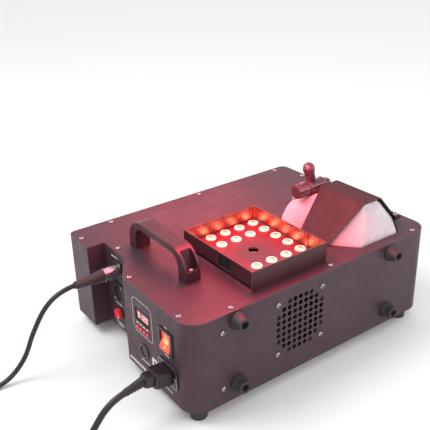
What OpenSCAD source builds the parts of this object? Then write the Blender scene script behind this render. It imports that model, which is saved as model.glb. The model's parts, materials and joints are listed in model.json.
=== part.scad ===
// Vertical fog machine with a lit nozzle collar, a strapped fluid tank and two plugged leads.
// Inside place(), X runs from the control panel, Y from the fan side and Z from the shell's lower edge.

/* [Casing] */
// Length of the casing, from the control panel to the tank end
body_l = 400; // [396:1:420]
// Width of the casing, from the fan side to the far side
body_w = 300; // [296:1:320]
// Height of the casing without its feet
body_h = 124; // [122:1:130]
// Radius of the casing's upright corners on the fan side
corner_r = 25; // [15:1:30]
// Radius of the casing's upright corners on the far side
far_corner_r = 10; // [4:1:25]
// Thickness of the casing's steel sheet
sheet = 1.5; // [1:0.1:2]
// Depth of the recessed connector panel
recess_d = 26; // [20:1:30]
// Where the control panel ends and the slanted wall starts
recess_y0 = 146; // [144:1:150]
// Where the recessed panel starts
recess_y1 = 185; // [180:1:188]
// Where the recessed panel ends
recess_y2 = 242; // [238:1:246]

/* [Feet] */
// Height of the rubber feet under the casing
foot_h = 16; // [10:1:20]
// Reach of the cone feet on the fan side
side_foot_h = 15; // [12:1:20]

/* [Fan] */
// Distance of the fan's axis from the control panel
fan_x = 164.5; // [160:0.5:170]
// Height of the fan's axis
fan_z = 69; // [60:1:72]
// Side of the fan's square frame
fan_size = 80; // [80:1:80]
// Distance between the fan's screws
fan_pitch = 71.5; // [71.5:0.5:71.5]
// Distance between the grille's holes
grille_pitch = 8.8; // [8.6:0.1:9]
// Radius of one grille hole
grille_r = 3.4; // [2.5:0.1:3.5]

/* [Light collar] */
// Low corner of the collar along X
collar_x = 103; // [100:1:106]
// Low corner of the collar along Y
collar_y = 18; // [16:1:20]
// Length of the collar along X
collar_l = 120; // [118:1:122]
// Width of the collar along Y
collar_w = 142; // [140:1:144]
// Height of the collar's rim above the top plate
collar_h = 27; // [26:1:30]
// Distance between neighbouring lights
led_pitch = 24; // [23:0.5:24]
// Radius of one light's lens
led_r = 7; // [6:0.5:8]

/* [Tank] */
// Low end of the tank along X
tank_x0 = 255; // [255:1:256]
// High end of the tank along X
tank_x1 = 383; // [383:1:384]
// Low end of the tank along Y
tank_y0 = 16.5; // [16.5:0.5:18]
// High end of the tank along Y
tank_y1 = 150; // [148:1:152]
// Height of the tank's flat top
tank_top = 172.5; // [172:0.5:172.5]
// Thickness of the tank's wall
tank_wall = 2.4; // [2:0.1:3]
// Height of the strap's upper face
strap_top = 175; // [175:1:175]

/* [Handle] */
// Distance of the handle from the control panel
handle_x = 51; // [49:1:52]
// Width of the handle's strap
handle_w = 22; // [18:1:24]
// Low end of the handle along Y
handle_y0 = 79.5; // [78:0.5:82]
// Length of the handle along Y
handle_len = 134; // [128:1:136]
// Height of the handle above the top plate
handle_h = 42; // [38:1:46]
// Radius of the handle's two outer curves
handle_curve = 30; // [26:1:38]

/* [Leads] */
// Diameter of the mains lead
mains_d = 8; // [7:0.5:8]
// Diameter of the control lead
dmx_d = 6.5; // [6:0.5:7]

/* [Hidden] */

$fn = 48;
eps = 0.01;
black = "#241f21";
panel_black = "#2b2427";
steel = "silver";
floor_z = -foot_h;

// Layout shared by several parts
lip = 12;
seam = 0.1;
recess_turn = -16.85;
seams = [
    [corner_r, 0, 90], [0, corner_r, 0], [0, recess_y0, recess_turn],
    [recess_d, recess_y1, recess_turn], [recess_d, recess_y2, 45], [0, recess_y2, 45],
    [0, body_w - far_corner_r, 0], [far_corner_r, body_w, -90], [body_l - far_corner_r, body_w, -90],
    [body_l, body_w - far_corner_r, 180], [body_l, corner_r, 180], [body_l - corner_r, 0, 90]];
plate_z = body_h - sheet;
slant = norm([recess_d, recess_y1 - recess_y0]);
screw_r = 2;
top_screws = [
    [64, 8], [220, 8], [374, 8], [64, body_w - 8], [220, body_w - 8], [374, body_w - 8],
    [7, 30], [6.5, 139], [33, 215], [7, 272], [body_l - 7, 54 + 60], [body_l - 7, 246]];
side_screws = [[46, 100.5], [46, 22]];
foot_xy = [[21, 18], [372, 18], [21, body_w - 18], [372, body_w - 18]];
side_foot_xz = [[67, 22], [323, 22], [67, 110], [323, 110]];
foot_screw_r = 2.5;

// Lights: five columns by six rows, without the six places round the nozzle
led_cols = 5;
led_rows = 6;
led_x0 = collar_x + (collar_l - (led_cols - 1) * led_pitch) / 2;
led_y0 = collar_y + (collar_w - (led_rows - 1) * led_pitch) / 2;
led_z = body_h + 7;
rim_z = body_h + collar_h;
nozzle_x = collar_x + collar_l / 2;
nozzle_y = collar_y + collar_w / 2;
nozzle_r = 7;
outlet_r = 5;
nozzle_top = body_h + 1;

// Heater
heater = [66, 58, 46];
heater_z = 42;
jacket = 10;
case_z = heater_z - jacket - sheet;
inlet_z = 52;
inlet_r = 4;
heater_end_x = nozzle_x + heater[0] / 2;
case_end_x = heater_end_x + jacket + sheet + 4;
thermostat_xy = [[nozzle_x - 22, nozzle_y - 16], [nozzle_x + 22, nozzle_y + 16]];

// Tank, tap and strap
cut = 29;
far_cut = 9;
shoulder_z = 144;
shoulder_in = 21;
crown_x = 50;
crown_y0 = 21.5;
crown_y1 = 52;
tap_x = 309;
tap_y = 130;
tap_z = 167;
tap_r = 10;
seat_z = 155.5;
stem_r = 7;
neck_x = 304;
neck_lean = 16;
neck_l = 16;
nut_end = 334;
strap_t = 2;
strap_slope = 0.9657;
strap_x0 = 304;
strap_x1 = 334.5;
strap_y0 = 32;
strap_y1 = 113;
strap_taper = 14;
strap_run = (strap_top - body_h - strap_t) / strap_slope;
strap_foot = 11;
strap_screws = [
    [strap_x0 - strap_run - 6, 53], [strap_x0 - strap_run - 6, 92],
    [strap_x1 + strap_run + 6, 53], [strap_x1 + strap_run + 6, 92]];

// Pump
pump_y = 190;
pump_z = 45;
pump_x0 = 270;
pump_x1 = 330;
pump_r = 9;
plunger_r = 5;
nipple_r = 3.5;
hose_r = 3.5;
pipe_r = 3;
stroke = 3;

// Control panel and recessed panel
display_y = 102;
display_z = 86.5;
display_size = [30, 14];
key_y = [114.2, 106.4, 98.6, 90.8];
key_z = 67;
key_r = 2.5;
rocker_y = 48.5;
rocker_z = 82;
rocker_size = [20, 24.4];
rocker_pivot_x = 2.5;
rocker_tilt = 10;
remote_y = 102;
remote_z = 37;
inlet_y = 47;
inlet_c = 38;
fuse_y = 212;
fuse_z = 26;
dmx_y = 209;
dmx_in_z = 95;
dmx_out_z = 60;

// Leads: routes of the centre lines, in the casing's frame
mains_r = mains_d / 2;
dmx_r = dmx_d / 2;
mains_floor = floor_z + mains_r;
dmx_floor = floor_z + dmx_r;
mains_start = -60;
plug_lean = 8;
dmx_start = -38;
mains_route = [
    [-60, 47, 38], [-68, 47, 36.3], [-77, 47, 33], [-86, 47, 27], [-94, 47, 19], [-101, 47, 10],
    [-109, 46, 2], [-118, 45, -5], [-128, 43, -10], [-139, 41, mains_floor], [-149, 40, mains_floor],
    [-158, 40, mains_floor], [-166, 40, mains_floor]];
mains_coil_c = [-170, -4];
mains_coil_r = [36, 44];
mains_coil_h = 24;
dmx_route = [
    [-38, 209, 95], [-46, 209, 94.5], [-58, 209, 92], [-70, 209, 87], [-81, 209, 78], [-90, 209, 67],
    [-98, 209, 54], [-105, 210, 41], [-111, 210, 27], [-118, 211, 14], [-128, 212, 2], [-139, 212, -6],
    [-151, 212, -11], [-164, 212, dmx_floor], [-178, 212, dmx_floor], [-192, 211, dmx_floor],
    [-206, 211, dmx_floor], [-220, 211, dmx_floor], [-230, 211, dmx_floor]];
dmx_coil_c = [-232, 174];
dmx_coil_r = [31, 37.5];
dmx_coil_h = 19.5;
suction_route = [
    [309, 144, 164], [309, 150, 163.5], [309, 158, 160], [309, 165, 153], [309, 170, 144],
    [309, 172, 134], [309, 172, 122], [310, 172, 110], [317, 173, 99], [330, 176, 92], [345, 179, 87],
    [358, 182, 80], [366, 185, 70], [368, 187, 60], [363, 189, 51], [353, 190, 46], [340, 190, 45]];
pressure_route = [
    [256, 190, 45], [246, 190, 45], [236, 186, 45], [229, 176, 46], [226, 162, 47], [225, 145, 48],
    [225, 128, 50], [226, 112, 51], [227, 99, 52], [223, 91, 52], [216, 89, 52], [211.5, 89, 52]];

// ---- helpers ----

// Moves the casing's frame into the part's own frame, centred on the floor
module place() {
    translate([-body_l / 2, (side_foot_h - body_w) / 2, foot_h]) children();
}

module rounded_box2d(x0, y0, x1, y1, r) {
    translate([x0 + r, y0]) square([x1 - x0 - 2 * r, y1 - y0]);
    translate([x0, y0 + r]) square([x1 - x0, y1 - y0 - 2 * r]);
    for (x = [x0 + r, x1 - r]) for (y = [y0 + r, y1 - r]) translate([x, y]) circle(r);
}

// A block whose edges along X are rounded, between two X values
module block_x(x0, x1, yc, zc, w, h, r) {
    translate([x0, yc, zc]) rotate([90, 0, 90]) linear_extrude(x1 - x0)
        rounded_box2d(-w / 2, -h / 2, w / 2, h / 2, r);
}

module cyl_x(x0, x1, y, z, r) {
    translate([x0, y, z]) rotate([0, 90, 0]) cylinder(r = r, h = x1 - x0);
}

module cyl_y(x, y0, y1, z, r) {
    translate([x, y0, z]) rotate([-90, 0, 0]) cylinder(r = r, h = y1 - y0);
}

// Plan of the casing, inset by d from the outer faces
module plan(d = 0) {
    shift = d * (recess_y1 - recess_y0 - slant) / recess_d;
    difference() {
        union() {
            rounded_box2d(d, d, body_l - d, body_w - 60, corner_r - d);
            rounded_box2d(d, body_w / 3, body_l - d, body_w - d, max(far_corner_r - d, 1));
        }
        polygon([
            [d - 5, recess_y0 + shift], [d, recess_y0 + shift], [recess_d + d, recess_y1 + shift],
            [recess_d + d, recess_y2 + d], [d - 5, recess_y2 + d]]);
    }
}

// Places in the light grid that carry a light
function led_here(i, j) = !(i > 0 && i < led_cols - 1 && j > 1 && j < led_rows - 2);

// Holes of the octagonal grille
module grille(y0, y1) {
    for (i = [-4:4]) for (j = [-4:4]) if (abs(i) + abs(j) < 7)
        cyl_y(fan_x + i * grille_pitch, y0, y1, fan_z + j * grille_pitch, grille_r);
}

module fan_corners() {
    for (x = [-1, 1]) for (z = [-1, 1])
        translate([fan_x + x * fan_pitch / 2, 0, fan_z + z * fan_pitch / 2]) children();
}

// Pan-head screw with a cross recess; its head stands on z = 0
module pan_screw(l = 8, r = screw_r, head_r = 3.7, head_h = 2.3) {
    translate([0, 0, -l]) cylinder(r = r, h = l + eps);
    difference() {
        cylinder(r = head_r, h = head_h);
        for (a = [0, 90]) rotate(a) translate([-2, -0.4, head_h - 1.2]) cube([4, 0.8, 2]);
    }
}

// Direction of a route at point i
function along(route, i) =
    let (a = route[max(i - 1, 0)], b = route[min(i + 1, len(route) - 1)]) (b - a) / norm(b - a);

// First cross direction of a ring, kept level
function side_of(t) = let (s = cross(t, [0.03, 0.05, 1])) s / norm(s);

// Straight halving steps that soften a route into a smooth curve
function smooth_route(p) = concat(
    [p[0]],
    [for (i = [0:len(p) - 2]) each [p[i] * 0.75 + p[i + 1] * 0.25, p[i] * 0.25 + p[i + 1] * 0.75]],
    [p[len(p) - 1]]);

// One closed tube along a route
module tube(route, r, sides = 10) {
    n = len(route);
    points = [for (i = [0:n - 1])
        let (t = along(route, i), s = side_of(t), u = cross(s, t))
        for (k = [0:sides - 1]) route[i] + r * (cos(360 * k / sides) * s + sin(360 * k / sides) * u)];
    walls = [for (i = [0:n - 2]) for (k = [0:sides - 1])
        let (m = (k + 1) % sides)
        each [
            [i * sides + k, i * sides + m, (i + 1) * sides + m],
            [i * sides + k, (i + 1) * sides + m, (i + 1) * sides + k]]];
    first = [[for (k = [sides - 1:-1:0]) k]];
    last = [[for (k = [0:sides - 1]) (n - 1) * sides + k]];
    polyhedron(points, concat(walls, first, last), convexity = 8);
}

// ---- casing ----

module base_plate() {
    color(black) place() difference() {
        translate([0, 0, -sheet]) linear_extrude(sheet) plan(sheet);
        for (p = foot_xy) translate([p[0], p[1], -5]) cylinder(r = foot_screw_r + 0.05, h = 10);
    }
}

module side_shell() {
    color(panel_black) place() difference() {
        union() {
            difference() {
                linear_extrude(plate_z) plan(0);
                translate([0, 0, -1]) linear_extrude(body_h + 2) plan(sheet);
            }
            translate([0, 0, plate_z - sheet]) linear_extrude(sheet) difference() {
                plan(sheet + seam);
                plan(lip);
            }
        }
        for (s = seams) translate([s[0], s[1], -1]) rotate(s[2]) translate([-2, -seam / 2, 0])
            cube([22, seam, body_h + 2]);
        for (p = concat(top_screws, strap_screws)) translate([p[0], p[1], 100])
            cylinder(r = screw_r + 0.05, h = 30);
        for (p = side_screws) cyl_y(p[0], -5, 5, p[1], screw_r + 0.05);
        fan_corners() cyl_y(0, -5, 5, 0, screw_r + 0.05);
        grille(-5, 5);
        for (p = side_foot_xz) cyl_y(p[0], -5, 5, p[1], foot_screw_r + 0.05);
        translate([-5, display_y - display_size[0] / 2, display_z - display_size[1] / 2])
            cube([10, display_size[0], display_size[1]]);
        for (y = key_y) cyl_x(-5, 5, y, key_z, key_r + 0.2);
        translate([-5, rocker_y - 12.6, rocker_z - 14.6]) cube([10, 25.2, 29.2]);
        cyl_x(-5, 5, remote_y, remote_z, 8.1);
        translate([-5, inlet_y - 14.6, inlet_c - 10.6]) cube([10, 29.2, 21.2]);
        cyl_x(recess_d - 5, recess_d + 5, dmx_y, dmx_in_z, 12);
        cyl_x(recess_d - 5, recess_d + 5, dmx_y, dmx_out_z, 12);
        cyl_x(recess_d - 5, recess_d + 5, fuse_y, fuse_z, 6.6);
    }
}

module top_plate() {
    color(panel_black) place() translate([0, 0, plate_z]) difference() {
        linear_extrude(sheet) plan(0);
        translate([0, 0, -1]) {
            linear_extrude(5) tank_plan(-1.2);
            translate([nozzle_x, nozzle_y, 0]) cylinder(r = 20, h = 5);
            translate([309, 172, 0]) cylinder(r = 6.6, h = 5);
            for (p = concat(top_screws, strap_screws, handle_screw_xy))
                translate([p[0], p[1], 0]) cylinder(r = screw_r + 0.05, h = 5);
        }
    }
}

module bottom_feet() {
    color("#1c1a1b") place() for (p = foot_xy) translate([p[0], p[1], floor_z]) difference() {
        cylinder(r1 = 10.5, r2 = 12, h = foot_h - sheet, $fn = 64);
        translate([0, 0, -1]) cylinder(r = 5.6, h = 5);
        cylinder(r = foot_screw_r + 0.05, h = foot_h);
    }
}

module side_feet() {
    color("#1c1a1b") place() for (p = side_foot_xz) translate([p[0], 0, p[1]]) rotate([90, 0, 0])
        difference() {
            cylinder(r1 = 12, r2 = 7.5, h = side_foot_h, $fn = 64);
            translate([0, 0, side_foot_h - 10]) cylinder(r = 4.6, h = 11);
            translate([0, 0, -1]) cylinder(r = foot_screw_r + 0.05, h = side_foot_h);
        }
}

module foot_screws() {
    color(steel) place() {
        for (p = foot_xy) translate([p[0], p[1], floor_z + 4]) rotate([180, 0, 0])
            pan_screw(foot_h - 4.1, foot_screw_r, 4.8, 2.6);
        for (p = side_foot_xz) translate([p[0], 10 - side_foot_h, p[1]]) rotate([90, 0, 0])
            pan_screw(11, foot_screw_r, 4.2, 2.6);
    }
}

module pan_screws() {
    color(steel) place() {
        for (p = top_screws) translate([p[0], p[1], body_h]) pan_screw(6);
        for (p = strap_screws) translate([p[0], p[1], body_h + strap_t]) pan_screw(6);
        for (p = side_screws) translate([p[0], 0, p[1]]) rotate([90, 0, 0]) pan_screw(6);
        fan_corners() rotate([90, 0, 0]) pan_screw(12);
    }
}

// ---- handle ----

handle_top = body_h + handle_h;
handle_screw_xy = [
    [handle_x + handle_w / 2, handle_y0 + 5.5], [handle_x + handle_w / 2, handle_y0 + handle_len - 5.5]];
handle_step = 15;

module handle_pocket() {
    translate([handle_x + 3, 0, 0]) rotate([90, 0, 90]) linear_extrude(handle_w - 6) polygon([
        [handle_y0 - 1, body_h + handle_step], [handle_y0 + 10.5, body_h + handle_step],
        [handle_y0 + 17, handle_top + 1], [handle_y0 - 1, handle_top + 1]]);
}

module handle() {
    mid = handle_y0 + handle_len / 2;
    color("#1f1c1d") place() difference() {
        translate([handle_x, 0, 0]) rotate([90, 0, 90]) linear_extrude(handle_w) difference() {
            intersection() {
                rounded_box2d(
                    handle_y0, handle_top - 80, handle_y0 + handle_len, handle_top, handle_curve);
                translate([handle_y0 - 1, body_h]) square([handle_len + 2, handle_h + 1]);
            }
            rounded_box2d(
                handle_y0 + 16, handle_top - 80, handle_y0 + handle_len - 16, handle_top - 9,
                handle_curve - 14);
        }
        handle_pocket();
        translate([0, 2 * mid, 0]) mirror([0, 1, 0]) handle_pocket();
        for (p = handle_screw_xy) translate([p[0], p[1], body_h - 1])
            cylinder(r = screw_r + 0.05, h = 30);
    }
}

module handle_screws() {
    color(steel) place() for (p = handle_screw_xy)
        translate([p[0], p[1], body_h + handle_step]) pan_screw(20, screw_r, 3.6, 2.2);
}

// ---- light collar and nozzle ----

notch_y0 = nozzle_y - 31;
notch_w = 26;

module led_collar() {
    color(black) place() {
        for (y = [collar_y, collar_y + collar_w - sheet]) translate([collar_x, y, body_h])
            cube([collar_l, sheet, collar_h]);
        for (y = [collar_y + sheet - eps, collar_y + collar_w - sheet - 7])
            translate([collar_x + 8, y, body_h]) cube([collar_l - 16, 7 + eps, sheet]);
        for (x = [collar_x, collar_x + collar_l - sheet]) difference() {
            translate([x, collar_y, led_z]) cube([sheet, collar_w, rim_z - led_z]);
            translate([x - 1, notch_y0, led_z - 1]) cube([5, notch_w, rim_z - led_z - 1.5]);
        }
        for (x = [collar_x + sheet - eps, collar_x + collar_l - 2 * sheet])
            translate([x, notch_y0 - 8, led_z]) cube([sheet + eps, notch_w + 16, rim_z - led_z - 1]);
    }
}

module led_heatsink() {
    color("gray") place() difference() {
        translate([collar_x + 5, collar_y + 3, led_z - 4.5]) cube([collar_l - 10, collar_w - 6, 3]);
        translate([nozzle_x, nozzle_y, 0]) cylinder(r = 10, h = 200);
        for (p = led_corners) translate([p[0], p[1], 0]) cylinder(r = 1.55, h = 200);
    }
}

led_corners = [for (x = [collar_x + 10, collar_x + collar_l - 10])
    for (y = [collar_y + 37, collar_y + collar_w - 37]) [x, y]];

module led_board() {
    color("#7a1016") place() difference() {
        translate([collar_x + 4, collar_y + 2.5, led_z - 1.5]) cube([collar_l - 8, collar_w - 5, 1.5]);
        translate([nozzle_x, nozzle_y, 0]) cylinder(r = 6.8, h = 200);
    }
}

module led_lenses() {
    color("#fff2d8") place() for (i = [0:led_cols - 1]) for (j = [0:led_rows - 1]) if (led_here(i, j))
        translate([led_x0 + i * led_pitch, led_y0 + j * led_pitch, led_z])
            rotate_extrude() polygon([[0, 0], [led_r, 0], [led_r, 1.6], [led_r - 1.4, 2.6], [0, 3]]);
}

board_corners = [[66, 191], [214, 191], [66, 279], [214, 279]];
board_z = 12;

module standoffs() {
    color(steel) place() {
        for (p = led_corners) translate([p[0], p[1], body_h]) cylinder(r = 3, h = led_z - 4.5 - body_h);
        for (p = board_corners) translate([p[0], p[1], 0]) cylinder(r = 3, h = board_z);
    }
}

module nozzle() {
    z0 = heater_z + heater[2];
    color("#b08d57") place() translate([nozzle_x, nozzle_y, z0]) difference() {
        cylinder(r = nozzle_r, h = nozzle_top - z0);
        translate([0, 0, -1]) cylinder(r = outlet_r, h = nozzle_top - z0 + 2);
    }
}

// ---- tank, strap and tap ----

// Plan of the tank, inset by d: a rectangle with cut corners, large ones at the fan side
module tank_plan(d = 0) {
    k = d * 0.45;
    polygon([
        [tank_x0 + cut + k, tank_y0 + d], [tank_x1 - cut - k, tank_y0 + d],
        [tank_x1 - d, tank_y0 + cut * 1.15 + k], [tank_x1 - d, tank_y1 - far_cut - k],
        [tank_x1 - far_cut - k, tank_y1 - d], [tank_x0 + far_cut + k, tank_y1 - d],
        [tank_x0 + d, tank_y1 - far_cut - k], [tank_x0 + d, tank_y0 + cut * 1.15 + k]]);
}

// The tank's crown above the top plate, inset by d
module tank_crown(d = 0) {
    hull() {
        translate([0, 0, body_h - d]) linear_extrude(0.1) tank_plan(d);
        translate([tank_x0 + shoulder_in + d, tank_y1 - d - 0.1, shoulder_z - d])
            cube([tank_x1 - tank_x0 - 2 * (shoulder_in + d), 0.1, 0.1]);
        translate([tank_x0 + crown_x + d * 0.4, tank_y0 + crown_y0 + d * 0.4, tank_top - d - 0.1])
            cube([
                tank_x1 - tank_x0 - 2 * crown_x - d * 0.8,
                tank_y1 - tank_y0 - crown_y0 - crown_y1 - d * 0.8, 0.1]);
    }
}

module tank() {
    color("#e9e6e4") place() difference() {
        union() {
            linear_extrude(body_h) tank_plan(0);
            tank_crown(0);
            translate([tap_x, tap_y, 140]) cylinder(r = 12, h = seat_z - 140);
        }
        translate([0, 0, tank_wall]) linear_extrude(body_h - tank_wall) tank_plan(tank_wall);
        difference() {
            tank_crown(tank_wall);
            translate([tap_x, tap_y, 100]) cylinder(r = 12, h = 100);
        }
        translate([tap_x, tap_y, seat_z]) cylinder(r = 12.5, h = 50);
        translate([tap_x, tap_y, 100]) cylinder(r = stem_r + 0.1, h = 80);
    }
}

module tank_strap() {
    outer = [
        [strap_x0 - strap_run - strap_foot, body_h + strap_t], [strap_x0 - strap_run, body_h + strap_t],
        [strap_x0, strap_top], [strap_x1, strap_top],
        [strap_x1 + strap_run, body_h + strap_t], [strap_x1 + strap_run + strap_foot, body_h + strap_t]];
    bend = strap_t * (sqrt(1 + strap_slope * strap_slope) - 1) / strap_slope;
    inner = [
        [strap_x1 + strap_run + strap_foot, body_h], [strap_x1 + strap_run - bend, body_h],
        [strap_x1 - bend, strap_top - strap_t], [strap_x0 + bend, strap_top - strap_t],
        [strap_x0 - strap_run + bend, body_h], [strap_x0 - strap_run - strap_foot, body_h]];
    color(panel_black) place() difference() {
        intersection() {
            translate([0, 400, 0]) rotate([90, 0, 0]) linear_extrude(400) polygon(concat(outer, inner));
            translate([200, 0, 0]) rotate([90, 0, 90]) linear_extrude(200) polygon([
                [strap_y0 + strap_taper, body_h - 1], [strap_y1 - strap_taper, body_h - 1],
                [strap_y1, strap_top + 1], [strap_y0, strap_top + 1]]);
        }
        for (p = strap_screws) translate([p[0], p[1], 100]) cylinder(r = screw_r + 0.05, h = 40);
    }
}

module tap_seal() {
    color("#161415") place() translate([tap_x, tap_y, seat_z]) difference() {
        cylinder(r = 12, h = 2);
        translate([0, 0, -1]) cylinder(r = stem_r + 0.1, h = 4);
        cyl_x(-20, 20, 0, tap_z - seat_z, tap_r + 0.02);
    }
}

module leaning() {
    translate([neck_x, tap_y, tap_z]) rotate([0, -neck_lean, 0]) children();
}

module tap_body() {
    color(black) place() difference() {
        union() {
            cyl_x(294, 322, tap_y, tap_z, tap_r);
            cyl_x(279, 294 + eps, tap_y, tap_z, 7);
            cyl_x(322 - eps, 330, tap_y, tap_z, 4);
            translate([tap_x, tap_y, 142]) cylinder(r = stem_r, h = tap_z - 142);
            cyl_y(tap_x, tap_y, tap_y + 14, tap_z - 3, 4.5);
            leaning() cylinder(r = 6.6, h = neck_l);
        }
        cyl_x(278, 326, tap_y, tap_z, 2.5);
        translate([tap_x, tap_y, 130]) cylinder(r = 3, h = tap_z - 130);
        cyl_y(tap_x, tap_y, tap_y + 15, tap_z - 3, 2.5);
    }
}

module ribs_x(x0, x1, y, z, r, count, depth) {
    for (k = [0:count - 1]) translate([x0, y, z]) rotate([360 * k / count, 0, 0])
        translate([0, -0.6, r - 0.3]) cube([x1 - x0, 1.2, depth + 0.3]);
}

module filler_cap() {
    color("#2a2324") place() difference() {
        union() {
            cyl_x(272.5, 293.5, tap_y, tap_z, 9.4);
            ribs_x(275, 291.5, tap_y, tap_z, 9.4, 20, 0.8);
        }
        cyl_x(278.5, 300, tap_y, tap_z, 7.08);
    }
}

module port_nut() {
    color("#2a2324") place() difference() {
        union() {
            cyl_x(322.2, nut_end, tap_y, tap_z, 5.6);
            ribs_x(324, nut_end - 1.5, tap_y, tap_z, 5.6, 12, 0.8);
        }
        cyl_x(320, 330.3, tap_y, tap_z, 4.1);
    }
}

module vent_stub() {
    color("#2a2324") place() leaning() translate([0, 0, neck_l]) rotate_extrude() polygon(concat(
        [[0, 0], [7, 0], [7, 7], [8.4, 12]],
        [for (a = [0:15:90]) [8.4 * cos(a), 15.8 + 8.4 * sin(a)]]));
}

module suction_hose() {
    color("#d8cfc8") place() tube(smooth_route(suction_route), hose_r, 8);
}

module hose_grommet() {
    color("#161415") place() translate([309, 172, plate_z - 2]) difference() {
        union() {
            cylinder(r = 6.5, h = sheet + 4);
            cylinder(r = 9, h = 2);
            translate([0, 0, sheet + 2]) cylinder(r = 9, h = 2);
        }
        translate([0, 0, -1]) cylinder(r = hose_r + 0.6, h = 10);
    }
}

// ---- heater ----

module heater_inner_box(d, z_low) {
    translate([
        nozzle_x - heater[0] / 2 - d, nozzle_y - heater[1] / 2 - d, heater_z - z_low])
        cube([heater[0] + 2 * d, heater[1] + 2 * d, heater[2] + 2 * z_low]);
}

module heater_block() {
    color("silver") place() difference() {
        union() {
            heater_inner_box(0, 0);
            cyl_x(heater_end_x - 1, case_end_x, nozzle_y, inlet_z, inlet_r);
        }
        translate([nozzle_x, nozzle_y, inlet_z - 3]) cylinder(r = 3, h = 100);
        cyl_x(nozzle_x, case_end_x + 1, nozzle_y, inlet_z, 2);
    }
}

module heater_insulation() {
    color("#c9c2b2") place() difference() {
        heater_inner_box(jacket, jacket);
        heater_inner_box(0.05, 0.05);
        translate([nozzle_x, nozzle_y, heater_z]) cylinder(r = nozzle_r + 0.3, h = 100);
        cyl_x(nozzle_x, case_end_x + 1, nozzle_y, inlet_z, inlet_r + 0.3);
        for (p = thermostat_xy) translate([p[0], p[1], heater_z + 20]) cylinder(r = 8.4, h = 100);
    }
}

module heater_case() {
    d = jacket + sheet;
    color("lightgray") place() difference() {
        union() {
            heater_inner_box(d, d);
            for (x = [nozzle_x - 40, nozzle_x + 32]) for (y = [nozzle_y - 36, nozzle_y + 28])
                translate([x, y, 0]) cube([8, 8, case_z + 1]);
        }
        heater_inner_box(jacket + 0.05, jacket + 0.05);
        translate([nozzle_x, nozzle_y, heater_z]) cylinder(r = nozzle_r + 0.3, h = 100);
        cyl_x(nozzle_x, case_end_x + 1, nozzle_y, inlet_z, inlet_r + 0.3);
        for (p = thermostat_xy) translate([p[0], p[1], heater_z + 20]) cylinder(r = 8.4, h = 100);
    }
}

module thermostats() {
    color("#3b3230") place() for (p = thermostat_xy)
        translate([p[0], p[1], heater_z + heater[2]]) {
            cylinder(r = 8, h = 17);
            for (x = [-4, 3.2]) translate([x, -3, 16]) cube([0.8, 6, 9]);
        }
}

module pressure_pipe() {
    color("#c8c8c0") place() tube(smooth_route(pressure_route), pipe_r, 8);
}

// ---- pump ----

module pump_body() {
    color("#b08d57") place() difference() {
        union() {
            cyl_x(pump_x0, pump_x1, pump_y, pump_z, pump_r);
            cyl_x(256, pump_x0 + 1, pump_y, pump_z, nipple_r);
            cyl_x(pump_x1 - 1, 340, pump_y, pump_z, nipple_r);
        }
        cyl_x(pump_x0 + 6, pump_x1 - 6, pump_y, pump_z, plunger_r + 0.06);
        cyl_x(250, 345, pump_y, pump_z, 1.5);
    }
}

module pump_coil() {
    color("#4a4a4e") place() difference() {
        union() {
            translate([280, pump_y - 18, pump_z - 18]) cube([38, 36, 36]);
            for (x = [278.5, 318]) translate([x, pump_y - 18, 0]) cube([1.5, 36, pump_z + 18]);
            translate([268, pump_y - 18, 0]) cube([11, 36, 1.5]);
            translate([319, pump_y - 18, 0]) cube([11, 36, 1.5]);
        }
        cyl_x(250, 340, pump_y, pump_z, pump_r + 0.05);
    }
}

module pump_plunger() {
    x0 = pump_x0 + 6 + 1;
    x1 = pump_x1 - 6 - stroke - 1;
    color("gray") place() difference() {
        cyl_x(x0, x1, pump_y, pump_z, plunger_r);
        cyl_x(x0 - 1, x1 + 1, pump_y, pump_z, 1.2);
    }
}

// ---- electronics ----

module main_board() {
    color("#1f5b35") place() difference() {
        translate([60, 185, board_z]) cube([160, 100, 1.6]);
        for (p = board_corners) translate([p[0], p[1], 0]) cylinder(r = 1.6, h = 30);
    }
}

module transformer() {
    color("#c7a33a") place() {
        translate([74, 200, board_z + 1.6]) cube([52, 44, 8]);
        translate([78, 204, board_z + 9.6 - eps]) cube([44, 36, 26]);
        translate([74, 200, board_z + 35.6 - 2 * eps]) cube([52, 44, 8]);
    }
}

module board_parts() {
    top = board_z + 1.6;
    color("#1d4f86") place() {
        for (x = [136, 158, 180]) translate([x, 256, top]) cube([19, 16, 15.5]);
        for (x = [145, 166]) translate([x, 210, top]) cylinder(r = 8, h = 26);
        translate([182, 196, top]) cube([3, 46, 30]);
        for (y = [198, 213, 228]) translate([186, y, top + 4]) cube([4.5, 10, 15]);
        for (x = [80, 100]) translate([x, 262, top]) cube([15, 12, 10]);
    }
}

module led_power_supply() {
    color("silver") place() difference() {
        translate([262, 215, 0]) cube([118, 70, 38]);
        translate([263.2, 213, 1.2]) cube([115.6, 68, 35.6]);
    }
}

module display_board() {
    color("#1f5b35") place() {
        translate([8, 80, 58]) cube([1.6, 44, 50]);
        translate([3.2, display_y - 14, display_z - 6]) cube([4.8 + eps, 28, 12]);
    }
}

module display_window() {
    color("#5a0a0c") place() {
        translate([0.6, display_y - display_size[0] / 2 + 0.1, display_z - display_size[1] / 2 + 0.1])
            cube([1, display_size[0] - 0.2, display_size[1] - 0.2]);
        translate([sheet, display_y - display_size[0] / 2 - 2, display_z - display_size[1] / 2 - 2])
            cube([1.2, display_size[0] + 4, display_size[1] + 4]);
    }
}

module key(y) {
    color("#c0202a") place() {
        cyl_x(-1.4, 6.6, y, key_z, key_r);
        cyl_x(sheet + 0.3, sheet + 1.5, y, key_z, 3.4);
    }
}

module menu_key() {
    key(key_y[0]);
}

module down_key() {
    key(key_y[1]);
}

module up_key() {
    key(key_y[2]);
}

module enter_key() {
    key(key_y[3]);
}

// ---- power switch, fuse and sockets ----

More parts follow.
